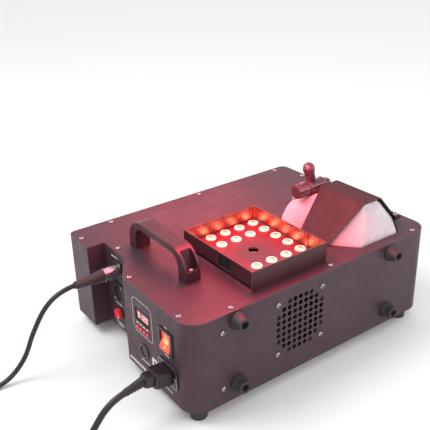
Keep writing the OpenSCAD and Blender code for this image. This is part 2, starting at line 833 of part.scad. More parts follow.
module power_switch_body() {
    color("#151314") place() difference() {
        union() {
            block_x(-2, 0, rocker_y, rocker_z, 27.5, 31, 1.5);
            translate([0, rocker_y - 12.5, rocker_z - 14.5]) cube([22, 25, 29]);
            for (z = [-8, 8]) translate([22 - eps, rocker_y - 3, rocker_z + z]) cube([8, 6, 0.8]);
        }
        translate([-3, rocker_y - 10.4, rocker_z - 13.2]) cube([17, 20.8, 26.4]);
        cyl_y(rocker_pivot_x, rocker_y - 12, rocker_y + 12, rocker_z, 1.56);
    }
}

// Rocker, tilted with its lower end out: the on position
module power_rocker() {
    half = rocker_size[1] / 2;
    color("#ff4a20") place() translate([rocker_pivot_x, rocker_y, rocker_z]) {
        rotate([0, rocker_tilt, 0]) translate([0, rocker_size[0] / 2, 0]) rotate([90, 0, 0])
            linear_extrude(rocker_size[0]) polygon([
                [-4.6, -half], [-2.4, 0], [-4.6, half], [0.5, half - 0.4], [6, 5], [6, -5],
                [0.5, 0.4 - half]]);
        cyl_y(0, -11.8, 11.8, 0, 1.5);
    }
}

module fuse_holder() {
    color("#151314") place() difference() {
        union() {
            cyl_x(recess_d - 1.5, recess_d, fuse_y, fuse_z, 9);
            cyl_x(recess_d - eps, recess_d + 32, fuse_y, fuse_z, 6.5);
        }
        cyl_x(recess_d - 3, recess_d + 28, fuse_y, fuse_z, 5.08);
    }
}

module fuse_cap() {
    color("#e02030") place() difference() {
        union() {
            cyl_x(recess_d - 6, recess_d - 1.7, fuse_y, fuse_z, 7.4);
            cyl_x(recess_d - 2, recess_d + 26, fuse_y, fuse_z, 5);
        }
        translate([recess_d - 6, fuse_y, fuse_z]) rotate([50, 0, 0]) translate([-1, -6, -0.6])
            cube([2.2, 12, 1.2]);
    }
}

module remote_socket() {
    color("#151314") place() difference() {
        union() {
            cyl_x(-1.4, 0, remote_y, remote_z, 9.8);
            cyl_x(-eps, 12, remote_y, remote_z, 8);
        }
        difference() {
            cyl_x(-2, 8, remote_y, remote_z, 7);
            cyl_x(-0.4, 9, remote_y, remote_z, 6);
        }
        for (a = [0:45:180]) cyl_x(
            -2, 6, remote_y + 3.6 * cos(a), remote_z - 3.6 * sin(a), 0.8);
    }
}

// Chassis socket of the round three-pin kind: flange and barrel
module xlr_shell(z) {
    block_x(recess_d - 2, recess_d, dmx_y, z, 26, 31, 2);
    cyl_x(recess_d - eps, recess_d + 24, dmx_y, z, 11.8);
}

module xlr_pins(x0, x1, z, r) {
    for (a = [90, 210, 330]) cyl_x(x0, x1, dmx_y + 4 * cos(a), z + 4 * sin(a), r);
}

module dmx_in_socket() {
    color("#1a1819") place() {
        difference() {
            xlr_shell(dmx_in_z);
            cyl_x(recess_d - 3, recess_d + 19, dmx_y, dmx_in_z, 8.1);
        }
        xlr_pins(recess_d + 6, recess_d + 20, dmx_in_z, 1.2);
    }
}

module dmx_out_socket() {
    color("#1a1819") place() difference() {
        xlr_shell(dmx_out_z);
        difference() {
            cyl_x(recess_d - 3, recess_d + 14, dmx_y, dmx_out_z, 9.8);
            cyl_x(recess_d - 1.2, recess_d + 15, dmx_y, dmx_out_z, 7.8);
        }
        xlr_pins(recess_d - 3, recess_d + 12, dmx_out_z, 1.4);
    }
}

module mains_inlet() {
    color("#151314") place() {
        difference() {
            union() {
                block_x(-2, 0, inlet_y, inlet_c, 41, 31, 6);
                translate([-eps, inlet_y - 14.5, inlet_c - 10.5]) cube([24, 29, 21]);
            }
            block_x(-3, 15, inlet_y, inlet_c, 24.8, 16.8, 2);
        }
        for (y = [-7, 0, 7]) translate([2, inlet_y + y - 1, inlet_c - 2 - (y == 0 ? 2 : 0)])
            cube([14, 2, 4]);
        for (y = [-7, 0, 7]) translate([24 - 2 * eps, inlet_y + y - 3, inlet_c]) cube([8, 6, 0.8]);
    }
}

// ---- fan ----

module fan_frame() {
    y0 = sheet;
    color("#1d1c1d") place() difference() {
        union() {
            difference() {
                translate([fan_x - fan_size / 2, y0, fan_z - fan_size / 2])
                    cube([fan_size, 25, fan_size]);
                cyl_y(fan_x, y0 - 1, y0 + 26, fan_z, 38);
            }
            cyl_y(fan_x, y0 + 19.5, y0 + 24.5, fan_z, 17);
            for (a = [45:90:315]) translate([fan_x, y0 + 20.5, fan_z]) rotate([0, a, 0])
                translate([10, 0, -2]) cube([30.5, 3.5, 4]);
        }
        fan_corners() cyl_y(0, -5, 40, 0, screw_r + 0.1);
        cyl_y(fan_x, y0 + 10, y0 + 24, fan_z, 1.56);
    }
}

module fan_rotor() {
    y0 = sheet + 2;
    color("#242223") place() {
        cyl_y(fan_x, y0, y0 + 17, fan_z, 17);
        cyl_y(fan_x, y0 + 16, y0 + 21, fan_z, 1.5);
        for (k = [0:6]) translate([fan_x, y0 + 8.5, fan_z]) rotate([0, k * 360 / 7, 0])
            translate([16, 0, 0]) rotate([38, 0, 0]) translate([0, -0.8, -9]) cube([20.5, 1.6, 18]);
    }
}

// ---- mains lead ----

module mains_connector() {
    color("#1b191a") place() difference() {
        union() {
            block_x(-5, 13, inlet_y, inlet_c, 24.2, 16.2, 2);
            translate([0, inlet_y, inlet_c]) rotate([0, plug_lean, 0]) {
                block_x(-25, -4, 0, 0, 26, 21, 4);
                block_x(-36, -25 + eps, 0, 0, 17, 16, 4);
            }
            translate([mains_start, inlet_y, inlet_c]) rotate([0, 79, 0])
                cylinder(r1 = 4.6, r2 = 6.6, h = 27);
        }
        for (y = [-7, 0, 7]) translate([1.5, inlet_y + y - 1.2, inlet_c - 2.2 - (y == 0 ? 2 : 0)])
            cube([14, 2.4, 4.4]);
    }
}

module mains_lead() {
    color("#3a3838") place() tube(smooth_route(mains_route), mains_r, 10);
}

module coil(centre, radii, r, h) {
    translate([centre[0], centre[1], floor_z]) rotate_extrude($fn = 96)
        translate([radii[0] - r, 0]) square([radii[1] - radii[0] + 2 * r, h]);
}

module mains_coil() {
    color("#3a3838") place() coil(mains_coil_c, mains_coil_r, mains_r, mains_coil_h);
}

plug_x = mains_coil_c[0] - 24;
plug_y = mains_coil_c[1] + mains_coil_r[1];
plug_r = 18;

module mains_plug() {
    z = floor_z + plug_r;
    color("#1b191a") place() {
        translate([plug_x - 28, plug_y, z]) rotate([0, 90, 0]) cylinder(r1 = 9, r2 = 5, h = 28);
        cyl_x(plug_x - 62, plug_x - 28 + eps, plug_y, z, plug_r);
        for (y = [-9.5, 9.5]) cyl_x(plug_x - 81, plug_x - 61, plug_y + y, z, 2.4);
    }
}

// ---- control lead ----

module dmx_connector() {
    color("#b9b6b8") place() difference() {
        union() {
            cyl_x(recess_d - 2.2, recess_d + 15, dmx_y, dmx_in_z, 7.9);
            cyl_x(0, recess_d - 2.2 + eps, dmx_y, dmx_in_z, 9.4);
            translate([dmx_start, dmx_y, dmx_in_z]) rotate([0, 90, 0])
                cylinder(r1 = 4.6, r2 = 8.6, h = -dmx_start + eps);
        }
        xlr_pins(recess_d + 5, recess_d + 20, dmx_in_z, 1.4);
    }
}

module dmx_lead() {
    color("#3a3838") place() tube(smooth_route(dmx_route), dmx_r, 8);
}

module dmx_coil() {
    color("#3a3838") place() coil(dmx_coil_c, dmx_coil_r, dmx_r, dmx_coil_h);
}

module dmx_end_connector() {
    x = dmx_coil_c[0] - dmx_coil_r[1];
    y = dmx_coil_c[1] - 18;
    z = floor_z + 9.4;
    color("#b9b6b8") place() {
        translate([x, y - 34, z]) rotate([-90, 0, 0]) cylinder(r1 = 8.6, r2 = 4.6, h = 34);
        difference() {
            cyl_y(x, y - 72, y - 34 + eps, z, 9.4);
            cyl_y(x, y - 80, y - 58, z, 8);
        }
        for (a = [90, 210, 330]) cyl_y(x + 4 * cos(a), y - 70, y - 57, z + 4 * sin(a), 1.2);
    }
}

base_plate();
side_shell();
top_plate();
bottom_feet();
side_feet();
foot_screws();
pan_screws();
handle();
handle_screws();
led_collar();
led_heatsink();
led_board();
led_lenses();
standoffs();
nozzle();
tank();
tank_strap();
tap_seal();
tap_body();
filler_cap();
port_nut();
vent_stub();
suction_hose();
hose_grommet();
heater_block();
heater_insulation();
heater_case();
thermostats();
pressure_pipe();
pump_body();
pump_coil();
pump_plunger();
main_board();
transformer();
board_parts();
led_power_supply();
display_board();
display_window();
menu_key();
down_key();
up_key();
enter_key();
power_switch_body();
power_rocker();
fuse_holder();
fuse_cap();
remote_socket();
dmx_in_socket();
dmx_out_socket();
mains_inlet();
fan_frame();
fan_rotor();
mains_connector();
mains_lead();
mains_coil();
mains_plug();
dmx_connector();
dmx_lead();
dmx_coil();
dmx_end_connector();
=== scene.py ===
"""Looks of the fog machine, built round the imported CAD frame.

Sizes are in millimetres of the casing's own frame: X runs from the control panel, Y from the fan side and Z
from the shell's lower edge.
"""
import json
import math
import random

import bmesh
import bpy
from mathutils import Matrix, Vector


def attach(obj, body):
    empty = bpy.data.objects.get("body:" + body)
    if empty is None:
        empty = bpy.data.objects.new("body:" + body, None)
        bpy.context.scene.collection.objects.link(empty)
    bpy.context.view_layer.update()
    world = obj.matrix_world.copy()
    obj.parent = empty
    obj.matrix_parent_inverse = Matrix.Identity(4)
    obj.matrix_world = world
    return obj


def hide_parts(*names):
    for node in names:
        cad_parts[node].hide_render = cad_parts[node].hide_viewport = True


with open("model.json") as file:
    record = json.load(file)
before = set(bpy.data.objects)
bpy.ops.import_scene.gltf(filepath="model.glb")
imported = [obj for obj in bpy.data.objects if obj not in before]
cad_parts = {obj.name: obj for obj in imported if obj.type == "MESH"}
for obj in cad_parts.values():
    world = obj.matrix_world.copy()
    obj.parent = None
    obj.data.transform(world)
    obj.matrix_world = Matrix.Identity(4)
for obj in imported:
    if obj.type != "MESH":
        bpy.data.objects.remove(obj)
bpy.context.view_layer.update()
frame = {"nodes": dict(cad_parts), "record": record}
scene = bpy.context.scene

# ---- driving sizes and places ----

MM = 0.001
CASING_L, CASING_W, PLATE_TOP = 400.0, 300.0, 124.0
FOOT_H, SIDE_FOOT_H = 16.0, 15.0
SHIFT = Vector((-CASING_L / 2, -(CASING_W - SIDE_FOOT_H) / 2, FOOT_H))
FLOOR_Z = -FOOT_H

# Places on the control panel, as (Y, Z)
SWITCH = (48.5, 82.0)
INLET = (47.0, 38.0)
JACK = (102.0, 37.0)
DISPLAY = (102.0, 86.5)

# The recess with the control sockets
RECESS_X = 26.0
CONTROL_Y, CONTROL_IN_Z, CONTROL_OUT_Z = 209.0, 95.0, 60.0

# The filler tee's middle
TEE = (309.0, 130.0, 167.0)


def at(x, y, z):
    """A point of the casing's frame, in the row frame and in metres."""
    return (Vector((x, y, z)) + SHIFT) * MM


# ---- mesh building ----

class Build:
    """Collects vertices and faces, in millimetres of the casing's frame."""

    def __init__(self):
        self.verts, self.faces, self.tags = [], [], []

    def rings(self, rings, tag=0, caps=True):
        """Skins a list of equally long, closed rings of points. tag numbers their material."""
        n = len(rings[0])
        first = len(self.verts)
        faces = []
        for i in range(len(rings) - 1):
            for k in range(n):
                m = (k + 1) % n
                faces.append([i * n + k, i * n + m, (i + 1) * n + m, (i + 1) * n + k])
        if caps:
            faces.append(list(range(n))[::-1])
            faces.append([(len(rings) - 1) * n + k for k in range(n)])
        self.verts += [Vector(v) for ring in rings for v in ring]
        self.faces += [[first + i for i in face] for face in faces]
        self.tags += [tag] * len(faces)

    def lathe(self, profile, origin, axis, steps, tag=0, caps=True):
        """Turns (radius, height) pairs about an axis through origin."""
        origin = Vector(origin)
        turn = AXES[axis]
        angles = [math.tau * k / steps for k in range(steps)]
        self.rings([
            [origin + turn @ Vector((r * math.cos(a), r * math.sin(a), h)) for a in angles]
            for r, h in profile], tag, caps)

    def box(self, low, high):
        (x0, y0, z0), (x1, y1, z1) = low, high
        self.rings([[(x0, y0, z), (x1, y0, z), (x1, y1, z), (x0, y1, z)] for z in (z0, z1)])

    def prism(self, outline, x0, x1):
        """Extrudes an outline of (Y, Z) pairs along X."""
        self.rings([[(x, y, z) for y, z in outline] for x in (x0, x1)])

    def tube(self, path, radius, sides):
        """A round tube along a path."""
        rings = []
        for i, p in enumerate(path):
            along = (path[min(i + 1, len(path) - 1)] - path[max(i - 1, 0)]).normalized()
            side = along.cross(Vector((0.03, 0.05, 1))).normalized()
            up = side.cross(along)
            rings.append([
                p + radius * (math.cos(math.tau * k / sides) * side + math.sin(math.tau * k / sides) * up)
                for k in range(sides)])
        self.rings(rings)

    def make(self, name, body, materials, bevel=0.0, replaces=()):
        """Makes the object, joins it to its body, gives it its materials and hides the CAD nodes that it stands
        for.
        """
        mesh = bpy.data.meshes.new(name)
        mesh.from_pydata([(v + SHIFT) * MM for v in self.verts], [], self.faces)
        bm = bmesh.new()
        bm.from_mesh(mesh)
        bmesh.ops.remove_doubles(bm, verts=bm.verts, dist=1e-6)
        bmesh.ops.recalc_face_normals(bm, faces=bm.faces)
        bm.to_mesh(mesh)
        bm.free()
        if not isinstance(materials, (list, tuple)):
            materials = [materials]
        for m in materials:
            mesh.materials.append(m)
        if len(materials) > 1 and len(mesh.polygons) == len(self.tags):
            mesh.polygons.foreach_set("material_index", self.tags)
        mesh.shade_smooth()
        obj = bpy.data.objects.new(name, mesh)
        scene.collection.objects.link(obj)
        finish_edges(obj, bevel, segments=3)
        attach(obj, body)
        if replaces:
            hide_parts(*replaces)
        return obj


AXES = {
    "Z": Matrix.Identity(3),
    "X": Matrix.Rotation(math.pi / 2, 3, "Y"),
    "-X": Matrix.Rotation(-math.pi / 2, 3, "Y"),
    "Y": Matrix.Rotation(-math.pi / 2, 3, "X"),
    "-Y": Matrix.Rotation(math.pi / 2, 3, "X"),
}
BEVEL_ANGLE, SPLIT_ANGLE = 35, 40


def finish_edges(obj, bevel, segments=2):
    """Rounds the sharp edges by bevel millimetres and keeps flat faces flat."""
    if bevel:
        mod = obj.modifiers.new("edges", "BEVEL")
        mod.width = bevel * MM
        mod.segments = segments
        mod.limit_method = "ANGLE"
        mod.angle_limit = math.radians(BEVEL_ANGLE)
        mod.use_clamp_overlap = True
    split = obj.modifiers.new("split", "EDGE_SPLIT")
    split.split_angle = math.radians(SPLIT_ANGLE)
    weighted = obj.modifiers.new("shade", "WEIGHTED_NORMAL")
    weighted.keep_sharp = True


CORNER_STEPS = 6


def arc(cx, cy, r, start, end):
    """Points on an arc, in degrees."""
    angles = [math.radians(start + (end - start) * i / CORNER_STEPS) for i in range(CORNER_STEPS + 1)]
    return [(cx + r * math.cos(a), cy + r * math.sin(a)) for a in angles]


def around(middle, half_w, half_h, r):
    """A rectangle with rounded corners about its middle."""
    x, y = middle
    dx, dy = half_w - r, half_h - r
    return (arc(x + dx, y - dy, r, -90, 0) + arc(x + dx, y + dy, r, 0, 90)
            + arc(x - dx, y + dy, r, 90, 180) + arc(x - dx, y - dy, r, 180, 270))


# ---- materials ----

EDGE_WEAR_AND_HIGHLIGHT_R, SOFT_EDGE_R, ROUGH_SMEAR = 0.0009, 0.0004, 0.08


def material(
    name, base, rough=0.5, metal=0.0, grain=None, blotch=(18.0, 0.12), edge=None, coat=0.0,
    emission=None, glow=0.0, subsurface=0.0, radius=0.3, transmission=0.0, shine=0.5, bands=None,
    painted_light_tint=None):
    """A procedural finish: mottled colour, uneven roughness, fine bump and lighter edges, part worn paint and
    part painted highlight.

    blotch and grain are a scale and a strength, bands the scale of a brushed or wound finish, and the last
    argument paints light or shade: a tint with the middle and the reach of the stretch that it colours.
    """
    mat = bpy.data.materials.new(name)
    mat.use_nodes = True
    nodes, links = mat.node_tree.nodes, mat.node_tree.links
    bsdf = nodes["Principled BSDF"]
    where = nodes.new("ShaderNodeTexCoord").outputs["Object"]

    def noise(scale, detail=4.0, rough_=0.55):
        n = nodes.new("ShaderNodeTexNoise")
        n.inputs["Scale"].default_value = scale
        n.inputs["Detail"].default_value = detail
        n.inputs["Roughness"].default_value = rough_
        links.new(where, n.inputs["Vector"])
        return n.outputs["Fac"]

    def remap(value, low, high, to_low, to_high):
        m = nodes.new("ShaderNodeMapRange")
        for key, v in zip(("From Min", "From Max", "To Min", "To Max"), (low, high, to_low, to_high)):
            m.inputs[key].default_value = v
        links.new(value, m.inputs["Value"])
        return m.outputs["Result"]

    def mix(fac, a, b):
        m = nodes.new("ShaderNodeMix")
        m.data_type = "RGBA"
        links.new(fac, m.inputs["Factor"])
        for socket, value in ((m.inputs[6], a), (m.inputs[7], b)):
            if isinstance(value, tuple):
                socket.default_value = (*value, 1)
            else:
                links.new(value, socket)
        return m.outputs[2]

    scale, amount = blotch
    dark = tuple(c * (1 - amount) for c in base)
    light = tuple(min(1, c * (1 + amount)) for c in base)
    colour = mix(remap(noise(scale), 0.3, 0.7, 0, 1), dark, light)
    if grain:
        speck = remap(noise(grain[0] * 0.6, 2.0), 0.45, 0.75, 0, 0.35)
        colour = mix(speck, colour, tuple(min(1, c * 1.5 + 0.01) for c in base))
    # Lighter edges: partly worn paint, partly a painted highlight along the edges
    if edge:
        bevel = nodes.new("ShaderNodeBevel")
        bevel.inputs["Radius"].default_value = EDGE_WEAR_AND_HIGHLIGHT_R
        bevel.samples = 4
        geometry = nodes.new("ShaderNodeNewGeometry")
        dot = nodes.new("ShaderNodeVectorMath")
        dot.operation = "DOT_PRODUCT"
        links.new(bevel.outputs["Normal"], dot.inputs[0])
        links.new(geometry.outputs["Normal"], dot.inputs[1])
        wear_and_highlight = remap(dot.outputs["Value"], 0.985, 0.9, 0, 1)
        patchy = nodes.new("ShaderNodeMath")
        patchy.operation = "MULTIPLY"
        links.new(wear_and_highlight, patchy.inputs[0])
        links.new(remap(noise(160.0), 0.35, 0.65, 0.15, 0.7), patchy.inputs[1])
        colour = mix(patchy.outputs["Value"], colour, edge)
    # Painted light and shade: a tint that fades out from a middle point (a red glow on the tank, duller shade
    # about the LED board's middle)
    if painted_light_tint:
        tint, centre, reach = painted_light_tint
        offset = nodes.new("ShaderNodeVectorMath")
        offset.operation = "DISTANCE"
        links.new(where, offset.inputs[0])
        offset.inputs[1].default_value = centre
        colour = mix(remap(offset.outputs["Value"], reach, reach * 0.25, 0, 1), colour, tint)
    links.new(colour, bsdf.inputs["Base Color"])
    smeared = remap(noise(scale * 3), 0.25, 0.75, rough - ROUGH_SMEAR, rough + ROUGH_SMEAR)
    links.new(smeared, bsdf.inputs["Roughness"])
    bsdf.inputs["Metallic"].default_value = metal
    bsdf.inputs["Coat Weight"].default_value = coat
    bsdf.inputs["Coat Roughness"].default_value = 0.15
    bsdf.inputs["Specular IOR Level"].default_value = shine
    bsdf.inputs["Subsurface Weight"].default_value = subsurface
    bsdf.inputs["Subsurface Radius"].default_value = (radius, radius * 0.8, radius * 0.75)
    bsdf.inputs["Subsurface Scale"].default_value = 0.02
    bsdf.inputs["Transmission Weight"].default_value = transmission
    if emission:
        bsdf.inputs["Emission Color"].default_value = (*emission, 1)
        bsdf.inputs["Emission Strength"].default_value = glow
    bump = nodes.new("ShaderNodeBump")
    round_edge = nodes.new("ShaderNodeBevel")
    round_edge.inputs["Radius"].default_value = SOFT_EDGE_R
    round_edge.samples = 4
    links.new(round_edge.outputs["Normal"], bump.inputs["Normal"])
    if grain:
        bump.inputs["Strength"].default_value = grain[1]
        bump.inputs["Distance"].default_value = 0.0003
        links.new(noise(grain[0], 3.0, 0.6), bump.inputs["Height"])
    elif bands:
        wave = nodes.new("ShaderNodeTexWave")
        wave.inputs["Scale"].default_value = bands
        wave.inputs["Distortion"].default_value = 2.0
        links.new(where, wave.inputs["Vector"])
        bump.inputs["Strength"].default_value = 0.15
        bump.inputs["Distance"].default_value = 0.0001
        links.new(wave.outputs["Fac"], bump.inputs["Height"])
    else:
        bump.inputs["Strength"].default_value = 0.08
        bump.inputs["Distance"].default_value = 0.0002
        links.new(noise(300.0), bump.inputs["Height"])
    links.new(bump.outputs["Normal"], bsdf.inputs["Normal"])
    return mat


coat_grain = (2200.0, 0.35)
LOOKS = {
    "casing_sheet": material(
        "powder_coat", (0.046, 0.017, 0.029), 0.50, grain=coat_grain, edge=(0.16, 0.12, 0.13)),
    # The collar's pink-white edge colour is a painted highlight of the rims lit by the LEDs
    "collar_sheet": material(
        "powder_coat_collar", (0.050, 0.007, 0.010), 0.42, grain=coat_grain, edge=(0.55, 0.27, 0.27)),
    "strap_sheet": material(
        "powder_coat_strap", (0.030, 0.008, 0.012), 0.62, grain=coat_grain, edge=(0.2, 0.14, 0.15),
        shine=0.36),
    "handle_plastic": material(
        "handle_plastic", (0.052, 0.012, 0.022), 0.38, grain=(900.0, 0.12), edge=(0.12, 0.08, 0.09),
        shine=0.38),
    "foot_rubber": material("foot_rubber", (0.026, 0.021, 0.024), 0.6, grain=(700.0, 0.2)),
    "screw_steel": material("screw_steel", (0.42, 0.38, 0.40), 0.34, metal=1.0, blotch=(90.0, 0.12)),
    "plain_steel": material("plain_steel", (0.55, 0.55, 0.55), 0.35, metal=1.0, bands=180.0),
    "alu": material("alu", (0.62, 0.62, 0.63), 0.38, metal=1.0, bands=220.0),
    # The board's red emission is a painted glow of the LEDs' light on it, and its duller tint about the nozzle
    # is painted shade
    "led_board": material(
        "led_board", (0.17, 0.001, 0.012), 0.42, emission=(1.0, 0.02, 0.06), glow=0.09,
        grain=(500.0, 0.1), painted_light_tint=((0.060, 0.020, 0.032), tuple(at(160, 80, 131)), 0.058)),
    "lens": material("lens", (0.78, 0.66, 0.42), 0.2, emission=(1.0, 0.74, 0.44), glow=0.22),
    "brass": material("brass", (0.62, 0.45, 0.22), 0.28, metal=1.0, bands=260.0),
    # The red tint on the tank next to the collar is a painted red glow
    "tank_plastic": material(
        "tank_plastic", (0.60, 0.55, 0.60), 0.36, subsurface=0.35, radius=0.5, blotch=(11.0, 0.10),
        grain=(160.0, 0.06), coat=0.15, painted_light_tint=((0.80, 0.20, 0.24), tuple(at(250, 84, 136)), 0.095)),
    "dark_plastic": material(
        "dark_plastic", (0.034, 0.020, 0.024), 0.26, grain=(800.0, 0.08), edge=(0.16, 0.11, 0.12),
        coat=0.4),
    "hose": material("hose", (0.72, 0.62, 0.6), 0.25, transmission=0.35, subsurface=0.2),
    "insulation": material("insulation", (0.6, 0.56, 0.48), 0.9, grain=(400.0, 1.0)),
    "board_green": material("board_green", (0.04, 0.22, 0.1), 0.4, grain=(300.0, 0.1)),
    "copper_winding": material("copper_winding", (0.6, 0.42, 0.12), 0.35, bands=600.0),
    "electro_parts": material("electro_parts", (0.07, 0.17, 0.36), 0.35),
    "window_red": material("window_red", (0.035, 0.003, 0.006), 0.12, coat=0.5),
    "key_red": material("key_red", (0.62, 0.035, 0.06), 0.32, emission=(1, 0.05, 0.08), glow=0.25),
    "rocker_red": material(
        "rocker_red", (0.70, 0.04, 0.02), 0.16, emission=(1.0, 0.06, 0.02), glow=0.32, coat=0.5,
        blotch=(60.0, 0.4)),
    # The red cap's emission is a painted red glow
    "cap_red": material("cap_red", (0.62, 0.02, 0.03), 0.22, coat=0.4, emission=(1, 0.03, 0.04), glow=0.2),
    "socket_plastic": material("socket_plastic", (0.022, 0.018, 0.020), 0.3, grain=(900.0, 0.1)),
    "cable_pvc": material("cable_pvc", (0.017, 0.009, 0.012), 0.34, grain=(600.0, 0.15)),
    "satin_nickel": material("satin_nickel", (0.55, 0.52, 0.53), 0.3, metal=1.0, bands=300.0),
}
ink = material("white_ink", (0.72, 0.68, 0.70), 0.5, blotch=(400.0, 0.15))
digit_red = material("digit_red", (0.9, 0.25, 0.25), 0.4, emission=(1.0, 0.28, 0.28), glow=2.6)
fan_black = material("fan_black", (0.007, 0.005, 0.006), 0.6, grain=(800.0, 0.1))

slots = {s["node"]: s["material_slot"] for s in frame["record"]["subparts"]}
for node, obj in frame["nodes"].items():
    mat = fan_black if node.startswith("fan_") else LOOKS[slots[node]]
    if obj.material_slots:
        for s in obj.material_slots:
            s.material = mat
    else:
        obj.data.materials.append(mat)

# ---- camera ----

AZIMUTH, ELEVATION, ROLL = (math.radians(a) for a in (-33.62, 24.97, -2.41))
CAMERA_PLACE, CAMERA_LENS, CAMERA_SHIFT = (-338.23, -527.05, 559.72), 58.24, (0.0522, -0.0128)
back = Vector((
    math.sin(AZIMUTH) * math.cos(ELEVATION), -math.cos(AZIMUTH) * math.cos(ELEVATION),
    math.sin(ELEVATION)))
right = Vector((0, 0, 1)).cross(back).normalized()
up = back.cross(right)
right, up = (
    math.cos(ROLL) * right + math.sin(ROLL) * up, math.cos(ROLL) * up - math.sin(ROLL) * right)
camera = bpy.data.objects.new("camera", bpy.data.cameras.new("camera"))
scene.collection.objects.link(camera)
camera.matrix_world = Matrix((right, up, back)).transposed().to_4x4()
camera.location = at(*CAMERA_PLACE)
camera.data.sensor_width = 36
camera.data.lens = CAMERA_LENS
camera.data.shift_x, camera.data.shift_y = CAMERA_SHIFT
camera.data.clip_start = 0.01
scene.camera = camera

# ---- leads ----

def softened(route, times=2):
    """Cuts corners as the CAD's tubes do, so that the lead lies where its solids are."""
    path = [Vector(p) for p in route]
    for _ in range(times):
        path = [path[0]] + [
            q for a, b in zip(path, path[1:]) for q in (a * 0.75 + b * 0.25, a * 0.25 + b * 0.75)
        ] + [path[-1]]
    return path


TURN_STEPS, EASE_FROM, COIL_START = 30, 0.7, 90


def winding(centre, radii, d, turns):
    """A coil on the floor: one radius for each turn and two turns in a layer, with eased steps."""
    points = []
    for k in range(1, round(turns * TURN_STEPS) + 1):
        t = k / TURN_STEPS
        i = min(int(t), len(radii) - 1)
        j = min(i + 1, len(radii) - 1)
        ease = max(0.0, (t - i - EASE_FROM) / (1 - EASE_FROM)) if i + 1 <= turns else 0.0
        ease = ease * ease * (3 - 2 * ease)
        r = radii[i] * (1 - ease) + radii[j] * ease
        z = (i // 2 * (1 - ease) + j // 2 * ease) * d
        a = math.radians(COIL_START) + math.tau * t
        points.append(Vector((
            centre[0] + r * math.cos(a), centre[1] + r * math.sin(a), FLOOR_Z + d / 2 + z)))
    return points


def lead(name, path, d, exit_, replaced):
    """A flexible lead of diameter d along path, hiding the CAD parts that it replaces."""
    curve = bpy.data.curves.new(name, "CURVE")
    curve.dimensions = "3D"
    spline = curve.splines.new("POLY")
    spline.points.add(len(path) - 1)
    for p, q in zip(spline.points, path):
        p.co = (*at(*q), 1)
    curve.bevel_depth = d / 2 * MM
    curve.bevel_resolution = 4
    curve.materials.append(LOOKS["cable_pvc"])
    obj = bpy.data.objects.new(name, curve)
    scene.collection.objects.link(obj)
    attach(obj, "casing")
    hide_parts(*replaced)
    at(*exit_)


MAINS_D, DMX_D = 8.0, 6.5
mains_floor, dmx_floor = FLOOR_Z + MAINS_D / 2, FLOOR_Z + DMX_D / 2
mains_route = [
    (-60, 47, 38), (-68, 47, 36.3), (-77, 47, 33), (-86, 47, 27), (-94, 47, 19), (-101, 47, 10),
    (-109, 46, 2), (-118, 45, -5), (-128, 43, -10), (-139, 41, mains_floor), (-149, 40, mains_floor),
    (-158, 40, mains_floor), (-166, 40, mains_floor)]
dmx_route = [
    (-38, 209, 95), (-46, 209, 94.5), (-58, 209, 92), (-70, 209, 87), (-81, 209, 78), (-90, 209, 67),
    (-98, 209, 54), (-105, 210, 41), (-111, 210, 27), (-118, 211, 14), (-128, 212, 2), (-139, 212, -6),
    (-151, 212, -11), (-164, 212, dmx_floor), (-178, 212, dmx_floor), (-192, 211, dmx_floor),
    (-206, 211, dmx_floor), (-220, 211, dmx_floor), (-230, 211, dmx_floor)]
MAINS_COIL, DMX_COIL = (-170, -4), (-232, 174)

mains_path = softened(mains_route)
mains_path += winding(MAINS_COIL, [44, 36, 36, 44, 44], MAINS_D, 5)
mains_path += [Vector((-180, 40, 3.5)), Vector((-188, 40, 2.5)), Vector((-196, 40, 2))]
dmx_path = softened(dmx_route)
dmx_path += winding(DMX_COIL, [37.5, 31, 31, 37.5, 37.5, 37.5], DMX_D, 5.25)
dmx_path += [
    Vector((-269.5, 169, -0.4)), Vector((-269.5, 162, -4.4)), Vector((-269.5, 156, -6.4)),
    Vector((-269.5, 152, -6.6))]

# ---- screws ----

TOP_SCREWS = [
    (64, 8), (220, 8), (374, 8), (64, 292), (220, 292), (374, 292), (7, 30), (6.5, 139), (33, 215),
    (7, 272), (393, 114), (393, 246)]
STRAP_SHEET = 2.0
STRAP_SCREWS = [(247.26, 53), (247.26, 92), (391.24, 53), (391.24, 92)]
FAN_X, FAN_Z, FAN_SCREW_PITCH = 164.5, 69.0, 71.5
SIDE_SCREWS = [(46, 100.5), (46, 22)] + [
    (FAN_X + sx * FAN_SCREW_PITCH / 2, FAN_Z + sz * FAN_SCREW_PITCH / 2) for sx in (-1, 1) for sz in (-1, 1)]
HANDLE_SCREWS = [(62, 85), (62, 208)]
HANDLE_SEAT = 15


def screw(build, origin, axis, turn, r=3.7, h=2.3):
    """A low domed head with a cross recess and a ring under its edge, standing on origin. The recess and the
    ring take the second material, a painted shade.
    """
    build.lathe([(r * 1.16, 0), (r * 1.16, 0.12), (r * 0.9, 0.14)], origin, axis, 28, tag=1)
    build.lathe(
        [(r * 0.94, 0), (r, 0.35), (r * 0.97, 0.9), (r * 0.82, h * 0.72), (r * 0.5, h * 0.94),
         (r * 0.2, h)], origin, axis, 28)
    for a in (turn, turn + 90):
        c, s = math.cos(math.radians(a)), math.sin(math.radians(a))
        for half in (-1, 1):
            outline = [(0.1, -0.62), (r * 0.74, -0.42), (r * 0.74, 0.42), (0.1, 0.62)]
            rings = []
            for z in (h * 0.5, h + 0.04):
                rings.append([
                    Vector(origin) + AXES[axis] @ Vector((
                        half * (c * u - s * v), half * (s * u + c * v), z)) for u, v in outline])
            build.rings(rings, tag=1)


